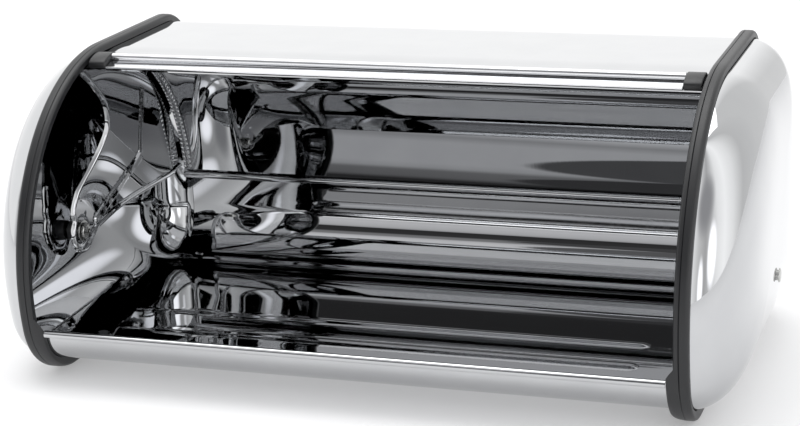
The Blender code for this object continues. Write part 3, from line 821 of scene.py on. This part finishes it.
@dataclass
class Casing:
    """One bent sheet: top, back, floor with two pressed beads, and the lip with its hem."""

    finishes: Finishes
    top_edge_angle: float = 93.5
    top_crease_back: float = 0.0080
    top_edge_drop: float = 0.0006
    lip_angle: float = 192.7
    hem_radius: float = 0.0018
    hem_turn: float = 215.0
    hem_steps: int = 24
    hem_edge: float = 0.1793
    bead_places: Pair = (-0.0065, -0.0420)
    bead_half_length: float = 0.150
    bead_half_width: float = 0.0035
    bead_height: float = 0.0012
    bead_runout: float = 0.006
    bead_steps: int = 12
    runout_steps: int = 6
    length_steps: int = 24
    top_edge_steps: int = 3
    lip_steps: int = 8
    floor_step: float = 0.004
    floor_band: float = 0.0001   # how near the floor's height a point counts as on it

    def bead_rise(self, x: float, y: float) -> float:
        """Height of the pressed beads at a place on the floor.

        Args:
            x: place along the box.
            y: place from front to back.

        Returns:
            The height, which is 0 beside the beads.
        """
        rise = 0.0
        for place in self.bead_places:
            across = abs(y - place) / self.bead_half_width
            along = smooth((self.bead_half_length - abs(x)) / self.bead_runout)
            if across < 1:
                rise = self.bead_height * (0.5 + 0.5 * math.cos(across * math.pi)) * along
        return rise

    def path(self) -> list[Pair]:
        """Middle line of the sheet, from the top's front edge to the rolled hem."""
        edge = polar(WALL.radius - self.top_edge_drop, self.top_edge_angle)
        crease = (PIVOT_Y + self.top_crease_back, PIVOT_Z + WALL.radius)
        high = WALL.high_corner_arc()[::-1]
        low = WALL.low_corner_arc()[::-1]
        corner = WALL.front_corner_arc()[::-1]
        path = [edge, *run(edge, crease, self.top_edge_steps), crease,
                *run(crease, high[0], STRAIGHT_STEPS), *high,
                *run(high[-1], low[0], STRAIGHT_STEPS), *low]
        floor = [low[-1][0]]
        for place in self.bead_places:
            floor += [place - across for across in spread(self.bead_half_width, self.bead_steps)]
        floor.append(corner[0][0])
        for first, second in zip(floor, floor[1:]):
            count = max(1, round(abs(second - first) / self.floor_step))
            path += [(first + (second - first) * (step + 1) / count, WALL.floor) for step in range(count)]
        path += corner[1:]
        path += WALL.front(WALL.corner_angle(), self.lip_angle, self.lip_steps)[1:]
        return path + rolled_edge(path[-1], self.lip_angle - 90, self.lip_angle, self.hem_radius,
                                  self.hem_turn, self.hem_steps)

    def build(self) -> None:
        """Build the sheet."""
        edge = RIM_X - SHEET / 2 - FIT
        ends = [self.bead_half_length - self.bead_runout * step / self.runout_steps
                for step in range(self.runout_steps + 1)]
        plain = spread(self.bead_half_length - self.bead_runout, self.length_steps)
        places = (edge, self.hem_edge, *ends, *plain)
        stations = sorted({round(sign * place, 7) for place in places for sign in (1, -1)})
        path = self.path()
        rows = []
        for index, (y, z) in enumerate(path):
            in_hem = index >= len(path) - self.hem_steps
            row = []
            for x in stations:
                if in_hem:
                    x = math.copysign(min(abs(x), self.hem_edge), x)
                lift = self.bead_rise(x, y) if z < WALL.floor + self.floor_band else 0.0
                row.append((x, y, z + lift))
            rows.append(row)
        Piece("bent_casing_sheet", grid(rows), Body.CASING, Slot.SHEET,
              ("body_sheet",), thickness=SHEET).place(self.finishes)


@dataclass
class RollLid:
    """Curved lid sheet with its rolled rear edge, the handle along its front and its seams."""

    finishes: Finishes
    radius: float = 0.1137
    half_width: float = 0.1895
    front_angle: float = 104.4
    rear_angle: float = 4.0
    roll_radius: float = 0.0019
    roll_turn: float = 250.0
    handle_half_length: float = 0.1717
    strip_rear_angle: float = 96.2
    strip_thickness: float = 0.0012
    strip_round: float = 0.0003
    bar_angle: float = 98.4
    bar_width: float = 0.0048
    bar_rise: float = 0.0032
    bar_fullness: float = 0.7    # 1 is a half round; less is squarer
    cap_length: float = 0.0105
    cap_rise: float = 0.0050
    cap_overlap: float = 0.5     # degrees it reaches behind the strip
    cap_wall: float = 0.35       # share of its rise that is a plain side wall
    cap_fullness: float = 0.6
    cap_round: float = 0.0007
    seam_width: float = 0.0052
    seam_depth: float = 0.0030
    seam_front_angle: float = 103.0
    seam_rear_angle: float = 6.5
    tooth_pitch: float = 0.0034
    tooth_height: float = 0.0009
    tooth_steps: int = 8
    tooth_sharpness: float = 1.3
    # (share of the width, share of the depth, share of the teeth) across the seam
    seam_profile: tuple[Triple, ...] = (
        (0.00, 0.45, 0.0), (0.06, 0.62, 1.0), (0.15, 0.66, 1.0), (0.22, 0.45, 0.4), (0.30, 0.38, 0.0),
        (0.40, 0.42, 0.0), (0.45, 0.85, 0.0), (0.50, 0.98, 0.0), (0.55, 0.85, 0.0), (0.60, 0.42, 0.0),
        (0.70, 0.38, 0.0), (0.78, 0.45, 0.4), (0.85, 0.66, 1.0), (0.94, 0.62, 1.0), (1.00, 0.45, 0.0))
    sheet_steps: int = 160
    roll_steps: int = 28
    length_steps: int = 24
    strip_steps: int = 24
    bar_steps: int = 40
    cap_steps: int = 24
    cap_base_steps: int = 12

    def build_sheet(self) -> None:
        """Build the curved sheet with its rolled edge."""
        path = arc((PIVOT_Y, PIVOT_Z), self.radius, self.front_angle, self.rear_angle,
                   self.sheet_steps)
        path += rolled_edge(path[-1], self.rear_angle - 90, self.rear_angle + 180,
                            self.roll_radius, self.roll_turn, self.roll_steps)
        rows = [[(x, y, z) for x in spread(self.half_width, self.length_steps)] for y, z in path]
        Piece("roll_lid_sheet", grid(rows), Body.LID, Slot.SHEET,
              ("lid_sheet",), thickness=SHEET).place(self.finishes)

    def build_handle(self) -> None:
        """Build the front strip, the raised bar and the two end caps."""
        under = self.radius + SHEET / 2 + FIT
        top = under + self.strip_thickness
        centre = (PIVOT_Y, PIVOT_Z)
        strip = arc(centre, under, self.strip_rear_angle, self.front_angle, self.strip_steps)
        strip += arc(centre, top, self.front_angle, self.strip_rear_angle, self.strip_steps)
        half = self.handle_half_length
        Piece("bright_front_strip", extrusion(strip, -half, half), Body.LID,
              Slot.CHROME, ("lid_front_strip",), rounding=self.strip_round).place(self.finishes)
        base = top + FIT
        half_angle = math.degrees(self.bar_width / 2 / base)
        bar = []
        for step in range(self.bar_steps + 1):
            turn = math.pi * step / self.bar_steps
            bar.append(polar(base + self.bar_rise * math.sin(turn) ** self.bar_fullness,
                             self.bar_angle + half_angle * math.cos(turn)))
        Piece("raised_handle_bar", extrusion(bar, -half, half), Body.LID,
              Slot.CHROME, ("lid_handle_bar",)).place(self.finishes)
        cap_start = self.strip_rear_angle - self.cap_overlap
        cap_end = self.front_angle
        outline = arc(centre, under, cap_end, cap_start, self.cap_base_steps)
        for step in range(self.cap_steps + 1):
            turn = math.pi * step / self.cap_steps
            rise = self.cap_wall + (1 - self.cap_wall) * math.sin(turn) ** self.cap_fullness
            outline.append(polar(under + self.cap_rise * rise,
                                 (cap_start + cap_end) / 2 - (cap_end - cap_start) / 2 * math.cos(turn)))
        for side in Side:
            start = side.value * (half + FIT)
            end = start + side.value * self.cap_length
            Piece(f"{side.prefix}_bar_cap", extrusion(outline, start, end), Body.LID,
                  Slot.CAP, (f"{side.prefix}_handle_cap",), rounding=self.cap_round).place(self.finishes)

    def build_seam(self, side: Side) -> None:
        """Build the crimped seam between the lid sheet and one arm.

        Its two edges are crimped into small teeth and a plain bead runs between them.

        Args:
            side: the end of the box.
        """
        outer = self.radius - SHEET / 2 - FIT
        length = math.radians(self.seam_front_angle - self.seam_rear_angle) * outer
        steps = round(length / self.tooth_pitch) * self.tooth_steps
        inner_x = self.half_width - self.seam_width
        rows = []
        for step in range(steps + 1):
            angle = self.seam_rear_angle + (self.seam_front_angle - self.seam_rear_angle) * step / steps
            tooth = smooth(0.5 + self.tooth_sharpness * math.cos(math.tau * step / self.tooth_steps))
            row = [(side.value * x, *polar(outer, angle)) for x in (self.half_width, inner_x)]
            for across, depth, share in self.seam_profile:
                inner = outer - self.seam_depth * depth + self.tooth_height * share * (1 - tooth)
                row.append((side.value * (inner_x + self.seam_width * across), *polar(inner, angle)))
            rows.append(row)
        mesh = grid(rows, close_columns=True)
        bmesh.ops.holes_fill(mesh, edges=[edge for edge in mesh.edges if edge.is_boundary])
        bmesh.ops.recalc_face_normals(mesh, faces=mesh.faces)
        Piece(f"{side.prefix}_crimped_seam", mesh, Body.LID, Slot.SHEET,
              (f"{side.prefix}_seam_strip",)).place(self.finishes)

    def build(self) -> None:
        """Build the sheet, the handle and both seams."""
        self.build_sheet()
        self.build_handle()
        for side in Side:
            self.build_seam(side)


@dataclass
class FanArm:
    """Stamped fan arm with rounded rims, a creased plate, a rib and two pips."""

    finishes: Finishes
    boss_x: float
    lid: RollLid
    sheet: float = 0.0010
    boss_radius: float = 0.0140
    rim_radius: float = 0.0014   # half width of the rounded rim along both edges
    rim_height: float = 0.0024
    rim_shares: tuple[float, ...] = (  # of the rim's width, where it has points
        0.0, 0.10, 0.20, 0.30, 0.40, 0.50, 0.60, 0.70, 0.80, 0.90, 1.0, 1.12)
    widest_rim: float = 0.45     # most that one rim takes of the arm's width
    outer_gap: float = 0.0006
    foot_angle: float = 232.0    # degrees about the pivot, where both edges start under the boss
    curl_steps: int = 8
    arc_from: float = 0.35       # share of the way up where rows start to bend into arcs
    arc_over: float = 0.50
    lean_start: float = 0.020
    top_out: float = 0.0030
    front_edge: tuple[Pair, ...] = (
        (0.0145, 140.0), (0.019, 128.0), (0.028, 104.0), (0.041, 82.0), (0.052, 75.5), (0.063, 74.0),
        (0.073, 77.5), (0.083, 84.5), (0.096, 95.5), (0.1094, 102.5))
    rear_edge: tuple[Pair, ...] = (
        (0.0145, -42.0), (0.0185, -16.0), (0.030, -2.0), (0.042, 4.0), (0.056, 6.0), (0.070, 6.5),
        (0.088, 6.8), (0.1094, 7.0))
    crease_start: Pair = (0.0249, 0.1158)
    crease_end: Pair = (0.0826, 0.0717)
    crease_height: float = 0.0034
    crease_fall: float = 0.045
    crease_fade: float = 0.014
    rib_start: Pair = (0.0190, 0.0590)
    rib_fork: Pair = (0.0600, 0.0915)
    rib_tip: Pair = (0.0620, 0.1340)
    rib_half_width: float = 0.0026
    rib_height: float = 0.0017
    tip_width: float = 0.72      # of the rib's width at the fork, and how much is lost by the end
    tip_taper: float = 0.30
    tip_height: float = 0.80     # of the rib's height at the fork, and how much is lost by the end
    tip_fall: float = 0.20
    tip_margin: float = 0.0005
    tip_slope: float = 0.0011
    press_slope: float = 0.0012  # width of the slope at a pressed edge
    pips: tuple[Pair, ...] = ((0.0046, 0.0665), (0.0150, 0.0745))
    pip_radius: float = 0.0019
    pip_depth: float = 0.0007
    dish_radius: float = 0.0100
    dish_depth: float = 0.0008
    rows: int = 180
    columns: int = 90
    rim_reach: int = 5           # rows either way that are searched for the nearest edge

    def outer_radius(self) -> float:
        """Radius at which the plate stops short of the seam strip."""
        return self.lid.radius - SHEET / 2 - FIT - self.lid.seam_depth - self.outer_gap

    def edge_path(self, knots: tuple[Pair, ...], sense: int) -> list[Pair]:
        """One edge, from the bottom of the boss round it and up to the lid.

        Args:
            knots: polar positions along the edge.
            sense: +1 where the angle grows round the boss, -1 where it falls.

        Returns:
            Side positions.
        """
        first = knots[0][1]
        span = (first - self.foot_angle) % 360 if sense > 0 else -((self.foot_angle - first) % 360)
        curl = [polar(self.boss_radius, self.foot_angle + span * step / self.curl_steps)
                for step in range(self.curl_steps)]
        return smooth_path([*curl, *(polar(radius, degrees) for radius, degrees in knots)], self.rows)

    @staticmethod
    def beside(place: Pair, start: Pair, end: Pair) -> tuple[float, float]:
        """Where a side position lies beside a straight stretch.

        Args:
            place: the side position.
            start: start of the stretch.
            end: end of the stretch.

        Returns:
            The distance from the stretch, and the share of the way along it.
        """
        run_y, run_z = end[0] - start[0], end[1] - start[1]
        length = max(1e-12, run_y * run_y + run_z * run_z)
        share = ((place[0] - start[0]) * run_y + (place[1] - start[1]) * run_z) / length
        share = min(1.0, max(0.0, share))
        return math.dist(place, mix(start, end, share)), share

    def rib_rise(self, place: Pair) -> float:
        """Height of the rib at a side position: a stem, then a finer tip beyond the fork.

        Args:
            place: the side position.

        Returns:
            The height, which is 0 beside the rib.
        """
        away, _ = self.beside(place, self.rib_start, self.rib_fork)
        stem = smooth((self.rib_half_width + self.press_slope / 2 - away) / self.press_slope)
        away, share = self.beside(place, self.rib_fork, self.rib_tip)
        narrow = self.rib_half_width * (self.tip_width - self.tip_taper * share)
        tip = (self.tip_height - self.tip_fall * share) * smooth(
            (narrow + self.tip_margin - away) / self.tip_slope)
        return self.rib_height * max(stem, tip)

    def relief(self, place: Pair) -> float:
        """How far the pressing stands in from the plain plate at a side position.

        Args:
            place: the side position.

        Returns:
            The height.
        """
        radius, _ = about_pivot(place)
        run_y = self.crease_end[0] - self.crease_start[0]
        run_z = self.crease_end[1] - self.crease_start[1]
        over = (place[1] - self.crease_start[1]) * run_y - (place[0] - self.crease_start[0]) * run_z
        beyond = over / math.hypot(run_y, run_z)
        tent = max(0.0, 1 - abs(beyond) / self.crease_fall)
        height = self.crease_height * tent * smooth((self.outer_radius() - radius) / self.crease_fade)
        height += self.rib_rise(place)
        for pip in self.pips:
            height -= self.pip_depth * smooth((self.pip_radius - math.dist(place, pip)) / self.press_slope)
        return height - self.dish_depth * smooth((self.dish_radius - radius) / self.press_slope)

    def rim(self, place: Pair, edge: list[Pair]) -> float:
        """How far the rounded rim stands in from the plate at a side position.

        Args:
            place: the side position.
            edge: the nearest stretch of the arm's edge.

        Returns:
            The height, which is 0 beyond the rim.
        """
        away = min(self.beside(place, start, end)[0] for start, end in zip(edge, edge[1:]))
        return self.rim_height * max(0.0, math.sin(math.pi * min(1.0, away / (2 * self.rim_radius))))

    def plate_x(self, place: Pair) -> float:
        """Distance of the plate from the middle of the box at a side position.

        Args:
            place: the side position.

        Returns:
            The distance.
        """
        radius, _ = about_pivot(place)
        outer = self.lid.half_width + self.top_out
        lean = (self.boss_x - outer) / (self.outer_radius() - self.lean_start)
        return self.boss_x - max(0.0, radius - self.lean_start) * lean - self.relief(place)

    def across(self, front: Pair, rear: Pair, share: float, up: float) -> Pair:
        """Position between the two edges: a straight chord low down, an arc at the top.

        Args:
            front: position on the front edge.
            rear: position on the rear edge.
            share: 0 at the front edge, 1 at the rear edge.
            up: 0 under the boss, 1 at the lid.

        Returns:
            The side position.
        """
        chord = mix(front, rear, share)
        bowed = polar(*mix(about_pivot(front), about_pivot(rear), share))
        return mix(chord, bowed, smooth((up - self.arc_from) / self.arc_over))

    def build(self, side: Side) -> None:
        """Build the arm at one end.

        Args:
            side: the end of the box.
        """
        front = self.edge_path(self.front_edge, -1)
        rear = self.edge_path(self.rear_edge, 1)
        rows = []
        for index, (fore, aft) in enumerate(zip(front, rear)):
            near = slice(max(0, index - self.rim_reach), index + self.rim_reach)
            width = math.dist(fore, aft)
            rim = 2 * self.rim_radius / max(width, 1e-6)
            insets = [min(self.widest_rim, rim * share) for share in self.rim_shares]
            inner = insets[-1]
            shares = [*insets,
                      *(inner + (1 - 2 * inner) * step / self.columns for step in range(1, self.columns)),
                      *(1 - inset for inset in insets[::-1])]
            row = []
            for share in shares:
                place = self.across(fore, aft, share, index / self.rows)
                lift = max(self.rim(place, front[near]), self.rim(place, rear[near]))
                row.append((side.value * (self.plate_x(place) - lift), *place))
            rows.append(row)
        Piece(f"{side.prefix}_fan_arm", grid(rows), Body.LID, Slot.SHEET,
              (f"{side.prefix}_lid_arm",), thickness=self.sheet, even=False).place(self.finishes)


@dataclass
class PivotSet:
    """Barrel nut, bush, washer and cross-recessed screw on the lid's axis at each end."""

    finishes: Finishes
    wall_x: float
    boss_x: float
    barrel_radius: float = 0.0030
    barrel_bore: float = 0.0017
    head_radius: float = 0.0040
    head_rise: float = 0.0011
    head_flat: float = 0.30      # share of the head's radius that is flat on top
    head_wall: float = 0.0020    # metal left between the head and the end of the bore
    bush_radius: float = 0.0060
    bush_round: float = 0.0003
    washer_radius: float = 0.0068
    washer_thickness: float = 0.0008
    washer_round: float = 0.0002
    boss_thickness: float = 0.0018
    running: float = 0.0003
    wall_allowance: float = 0.0009
    screw_radius: float = 0.0052
    screw_rise: float = 0.0024
    screw_flat: float = 0.25
    shoulder: float = 0.35       # share of a head's rise that is a plain side wall
    shank_radius: float = 0.0014
    shank_length: float = 0.0075
    recess: Triple = (0.0026, 0.0054, 0.0011)
    recess_turns: Pair = (20.0, 110.0)

    def crown(self, under: float, top: float, radius: float, flat: float) -> list[Pair]:
        """Rounded head profile, from its middle out to its rim.

        Args:
            under: distance out of the underside.
            top: distance out of the top.
            radius: radius of the rim.
            flat: share of the radius that stays flat on top.

        Returns:
            Profile points.
        """
        points = [(top, 0.0)]
        for step in range(QUARTER_STEPS + 1):
            turn = math.pi / 2 * step / QUARTER_STEPS
            rise = self.shoulder + (1 - self.shoulder) * math.cos(turn)
            points.append((under + (top - under) * rise, radius * (flat + (1 - flat) * math.sin(turn))))
        return points + [(under, radius)]

    def cross_cutter(self, face_x: float, turn: float) -> bpy.types.Object:
        """Bar that cuts one arm of the cross recess.

        Args:
            face_x: place of the head's face along X.
            turn: angle of the arm, in degrees.

        Returns:
            The cutter.
        """
        mesh = bmesh.new()
        bmesh.ops.create_cube(mesh, size=1)
        bmesh.ops.scale(mesh, verts=mesh.verts, vec=self.recess)
        cutter = mesh_object("cross_cutter", mesh)
        cutter.location = (face_x, PIVOT_Y, PIVOT_Z)
        cutter.rotation_euler = (math.radians(turn), 0, 0)
        cutter.hide_render = True
        return cutter

    @staticmethod
    def ring(start: float, end: float, bore: float, radius: float) -> list[Pair]:
        """Square ring profile between two distances out."""
        return [(start, bore), (end, bore), (end, radius), (start, radius)]

    def build(self, side: Side) -> None:
        """Build the hardware at one end.

        Args:
            side: the end of the box.
        """
        half_boss = self.boss_thickness / 2
        head_under = self.wall_x + SHEET / 2 + self.wall_allowance
        washer_out = self.boss_x - half_boss - FIT
        washer_in = washer_out - self.washer_thickness
        barrel_end = washer_in - FIT
        bore_end = head_under - self.head_wall
        barrel = self.crown(head_under, head_under + self.head_rise, self.head_radius, self.head_flat)
        barrel += [(head_under, self.barrel_radius), (barrel_end, self.barrel_radius),
                   (barrel_end, self.barrel_bore), (bore_end, self.barrel_bore), (bore_end, 0.0)]
        Piece(f"{side.prefix}_barrel_nut", turned(barrel, side), Body.CASING, Slot.FASTENER,
              (f"{side.prefix}_pivot_barrel",)).place(self.finishes)

        bore = self.barrel_radius + self.running
        bush_in = self.boss_x + half_boss + FIT
        bush_out = self.wall_x - SHEET / 2 - self.wall_allowance - FIT
        bush = self.ring(bush_in, bush_out, bore, self.bush_radius)
        Piece(f"{side.prefix}_spacer_bush", turned(bush, side), Body.CASING, Slot.BUSH,
              (f"{side.prefix}_pivot_bush",), rounding=self.bush_round).place(self.finishes)
        washer = self.ring(washer_in, washer_out, bore, self.washer_radius)
        Piece(f"{side.prefix}_plain_washer", turned(washer, side), Body.LID, Slot.FASTENER,
              (f"{side.prefix}_pivot_washer",), rounding=self.washer_round).place(self.finishes)

        head_out = barrel_end - FIT
        head_in = head_out - self.screw_rise
        tip = head_out + self.shank_length
        screw = self.crown(head_out, head_in, self.screw_radius, self.screw_flat)
        screw += [(head_out, self.shank_radius), (tip, self.shank_radius), (tip, 0.0)]
        cutters = tuple(self.cross_cutter(side.value * head_in, turn) for turn in self.recess_turns)
        Piece(f"{side.prefix}_cross_screw", turned(screw, side), Body.CASING, Slot.FASTENER,
              (f"{side.prefix}_pivot_screw",), cutters=cutters).place(self.finishes)


@dataclass(frozen=True)
class Card:
    """Soft-edged oval card in the surround, in degrees as seen from the object.

    Azimuth 0 is straight in front of the opening and grows towards +X.
    """

    azimuth: float
    elevation: float
    half_width: float
    half_height: float
    brightness: float
    softness: float = 0.08


@dataclass
class Studio:
    """Plain pale floor, soft surround with cards, a soft box and the camera."""

    floor_size: float = 9.0
    floor_steps: int = 24
    cove_start: float = 0.85     # share of the way out where the floor starts to turn up
    cove_slope: float = 0.25
    camera_place: Triple = (0.3679, -1.0975, 0.4199)
    yaw: float = -0.32473548
    pitch: float = -0.285088087
    roll: float = -0.0364840954
    lens: float = 91.92
    sensor: float = 36.0
    near_clip: float = 0.01
    soft_box_place: Triple = (-0.3, 0.3, 1.9)
    soft_box_aim: Triple = (0.0, 0.0, 0.08)
    soft_box_size: Pair = (1.6, 1.2)
    soft_box_watts: float = 14.0
    surround: float = 1.30
    # (elevation in degrees, brightness) of the darker side that the opening faces
    front_bands: tuple[Pair, ...] = (
        (-12, 0.70), (5, 0.75), (13, 0.65), (16.4, 0.50), (17.6, 0.04), (27, 0.05), (29, 0.25), (33, 0.30),
        (35, 0.68), (38, 0.80), (52, 0.80), (56, 0.55), (60, 1.00), (75, 1.15))
    front_blue: float = 1.02     # how much bluer than grey the dark side is
    front_edges: Pair = (-62.0, 3.0)  # azimuths, in degrees, between which it is dark
    front_fade: float = 12.0
    # (azimuth in degrees, share of the surround's brightness) over the right half
    side_shades: tuple[Pair, ...] = (
        (0, 1.00), (12, 1.00), (26, 0.70), (44, 0.50), (58, 0.70), (72, 1.05), (88, 1.20), (104, 1.00),
        (120, 0.64), (140, 0.70), (168, 0.70), (180, 1.00))
    ramp_top: float = 2.0        # brightness that a ramp value of 1 stands for
    cards: tuple[Card, ...] = (
        Card(-7, 42, 12, 9.5, 0.14), Card(-5, 30, 12, 4.5, 0.08), Card(42, 48, 22, 15, 0.45, 0.9),
        Card(60, 16, 9, 13, 2.6, 0.95), Card(34, 6, 6, 13, 2.2, 0.9))
    card_blue: float = 1.03

    def build_floor(self) -> None:
        """Build the floor, with its edge turned up into a low cove."""
        half = self.floor_size / 2
        rows = []
        for y in spread(half, self.floor_steps):
            rows.append([
                (x, y, self.cove_slope * max(0.0, math.hypot(x, y) / half - self.cove_start))
                for x in spread(half, self.floor_steps)])
        floor = mesh_object("studio_floor", grid(rows))
        floor.data.materials.append(LitBoard().build())
        floor.data.shade_smooth()

    @staticmethod
    def fill_ramp(ramp: bpy.types.Node, stops: list[tuple[float, Triple]]) -> None:
        """Set the stops of a new colour ramp.

        Args:
            ramp: the ramp node.
            stops: position and colour of each stop, in order.
        """
        elements = ramp.color_ramp.elements
        for index, (position, colour) in enumerate(stops):
            element = elements[index] if index < 2 else elements.new(position)
            element.position = position
            element.color = (*colour, 1)

    @staticmethod
    def azimuth(tree: bpy.types.NodeTree, parts: bpy.types.Node) -> bpy.types.NodeSocket:
        """Azimuth of a direction, in radians: 0 ahead of the opening, growing towards +X.

        Args:
            tree: the world's tree.
            parts: the node that splits the direction into its parts.

        Returns:
            The angle.
        """
        ahead = add_node(tree, "ShaderNodeMath", {0: parts.outputs["Y"], 1: -1.0}, operation="MULTIPLY")
        return add_node(tree, "ShaderNodeMath", {0: parts.outputs["X"], 1: ahead.outputs[0]},
                        operation="ARCTAN2").outputs[0]

    def side_bands(self, tree: bpy.types.NodeTree, parts: bpy.types.Node) -> bpy.types.NodeSocket:
        """Pale surround with a softly shaded upright stretch on the right.

        Args:
            tree: the world's tree.
            parts: the node that splits the direction into its parts.

        Returns:
            The colour.
        """
        turn = self.azimuth(tree, parts)
        share = add_node(tree, "ShaderNodeMapRange", {
            "Value": turn, "From Min": 0.0, "From Max": math.pi, "To Min": 0.0, "To Max": 1.0})
        ramp = add_node(tree, "ShaderNodeValToRGB", {0: share.outputs[0]})
        self.fill_ramp(ramp, [
            (degrees / 180, (self.surround * shade / self.ramp_top,) * 3)
            for degrees, shade in self.side_shades])
        full = add_node(tree, "ShaderNodeVectorMath", {0: ramp.outputs[0], 1: (self.ramp_top,) * 3},
                        operation="MULTIPLY")
        return full.outputs[0]

    def front_mask(self, tree: bpy.types.NodeTree, parts: bpy.types.Node) -> bpy.types.NodeSocket:
        """Mask that is 1 over the dark stretch ahead of the opening.

        Args:
            tree: the world's tree.
            parts: the node that splits the direction into its parts.

        Returns:
            The mask.
        """
        turn = self.azimuth(tree, parts)
        masks = []
        for edge, fade in zip(self.front_edges, (self.front_fade, -self.front_fade)):
            masks.append(add_node(tree, "ShaderNodeMapRange", {
                "Value": turn, "From Min": math.radians(edge - fade), "From Max": math.radians(edge)},
                interpolation_type="SMOOTHSTEP"))
        return add_node(tree, "ShaderNodeMath", {0: masks[0].outputs[0], 1: masks[1].outputs[0]},
                        operation="MULTIPLY").outputs[0]

    def add_cards(self, tree: bpy.types.NodeTree, parts: bpy.types.Node,
                  colour: bpy.types.NodeSocket) -> bpy.types.NodeSocket:
        """Lay the cards over the surround.

        Args:
            tree: the world's tree.
            parts: the node that splits the direction into its parts.
            colour: the surround's colour so far.

        Returns:
            The colour with the cards.
        """
        azimuth = self.azimuth(tree, parts)
        elevation = add_node(tree, "ShaderNodeMath", {0: parts.outputs["Z"]}, operation="ARCSINE").outputs[0]
        for card in self.cards:
            squares = []
            for angle, middle, half in ((azimuth, card.azimuth, card.half_width),
                                        (elevation, card.elevation, card.half_height)):
                share = add_node(tree, "ShaderNodeMapRange", {
                    "Value": angle, "From Min": math.radians(middle - half),
                    "From Max": math.radians(middle + half), "To Min": -1.0, "To Max": 1.0},
                    clamp=False)
                square = add_node(tree, "ShaderNodeMath", {0: share.outputs[0], 1: 2.0}, operation="POWER")
                squares.append(square.outputs[0])
            reach = add_node(tree, "ShaderNodeMath", {0: squares[0], 1: squares[1]})
            mask = add_node(tree, "ShaderNodeMapRange", {
                "Value": reach.outputs[0], "From Min": 1 + card.softness, "From Max": 1 - card.softness},
                interpolation_type="SMOOTHSTEP")
            tone = (card.brightness, card.brightness, card.brightness * self.card_blue, 1)
            colour = add_node(tree, "ShaderNodeMix", {
                "Factor": mask.outputs[0], "A": colour, "B": tone}, data_type="RGBA").outputs["Result"]
        return colour

    def build_surround(self) -> None:
        """Light the scene from all round, darker on the side that the opening faces."""
        world = bpy.data.worlds.new("soft_surround")
        bpy.context.scene.world = world
        world.use_nodes = True
        tree = world.node_tree
        tree.nodes.clear()
        place = add_node(tree, "ShaderNodeTexCoord").outputs["Generated"]
        parts = add_node(tree, "ShaderNodeSeparateXYZ", {0: place})
        height = add_node(tree, "ShaderNodeMapRange", {
            "Value": parts.outputs["Z"], "From Min": -1.0, "From Max": 1.0})
        bands = add_node(tree, "ShaderNodeValToRGB", {0: height.outputs[0]})
        self.fill_ramp(bands, [
            ((math.sin(math.radians(elevation)) + 1) / 2, (tone, tone, tone * self.front_blue))
            for elevation, tone in self.front_bands])
        front = self.front_mask(tree, parts)
        sides = self.side_bands(tree, parts)
        mixed = add_node(tree, "ShaderNodeMix", {
            "Factor": front, "A": sides, "B": bands.outputs[0]}, data_type="RGBA")
        carded = self.add_cards(tree, parts, mixed.outputs["Result"])
        seen = add_node(tree, "ShaderNodeLightPath").outputs["Is Camera Ray"]
        final = add_node(tree, "ShaderNodeMix", {
            "Factor": seen, "A": carded, "B": (1, 1, 1, 1)}, data_type="RGBA")
        light = add_node(tree, "ShaderNodeBackground", {"Color": final.outputs["Result"], "Strength": 1.0})
        add_node(tree, "ShaderNodeOutputWorld", {"Surface": light.outputs[0]})

    def build_soft_box(self) -> None:
        """Hang the soft box over the object and point it at the middle."""
        data = bpy.data.lights.new("overhead_soft_box", "AREA")
        data.shape = "RECTANGLE"
        data.size, data.size_y = self.soft_box_size
        data.energy = self.soft_box_watts
        light = link("overhead_soft_box", data)
        light.location = self.soft_box_place
        aim = Vector(self.soft_box_aim) - Vector(self.soft_box_place)
        light.rotation_euler = aim.to_track_quat("-Z", "Y").to_euler()

    def build_camera(self) -> None:
        """Add the camera."""
        forward = Vector((math.sin(self.yaw) * math.cos(self.pitch),
                          math.cos(self.yaw) * math.cos(self.pitch), math.sin(self.pitch)))
        level = Vector((math.cos(self.yaw), -math.sin(self.yaw), 0))
        upright = level.cross(forward)
        right = level * math.cos(self.roll) + upright * math.sin(self.roll)
        up = upright * math.cos(self.roll) - level * math.sin(self.roll)
        data = bpy.data.cameras.new("camera")
        data.lens = self.lens
        data.sensor_width = self.sensor
        data.clip_start = self.near_clip
        camera = link("camera", data)
        turn = Matrix((right, up, -forward)).transposed().to_4x4()
        camera.matrix_world = Matrix.Translation(self.camera_place) @ turn
        bpy.context.scene.camera = camera

    def build(self) -> None:
        """Build the whole studio."""
        bpy.context.scene.view_settings.view_transform = "Standard"
        self.build_floor()
        self.build_surround()
        self.build_soft_box()
        self.build_camera()


def main() -> None:
    """Build every piece in order, then the studio."""
    logging.basicConfig(level=logging.INFO, format="%(name)s: %(message)s")
    finishes = build_finishes()
    dome = DomedEnd(finishes)
    wall_x = RIM_X + dome.out(dome.share((PIVOT_Y, PIVOT_Z)))
    boss_x = wall_x - BOSS_GAP
    lid = RollLid(finishes)
    Casing(finishes).build()
    lid.build()
    for side in Side:
        dome.build(side)
        RimTrim(finishes).build(side)
        FanArm(finishes, boss_x, lid).build(side)
        PivotSet(finishes, wall_x, boss_x).build(side)
    Studio().build()


if __name__ == "__main__":
    main()
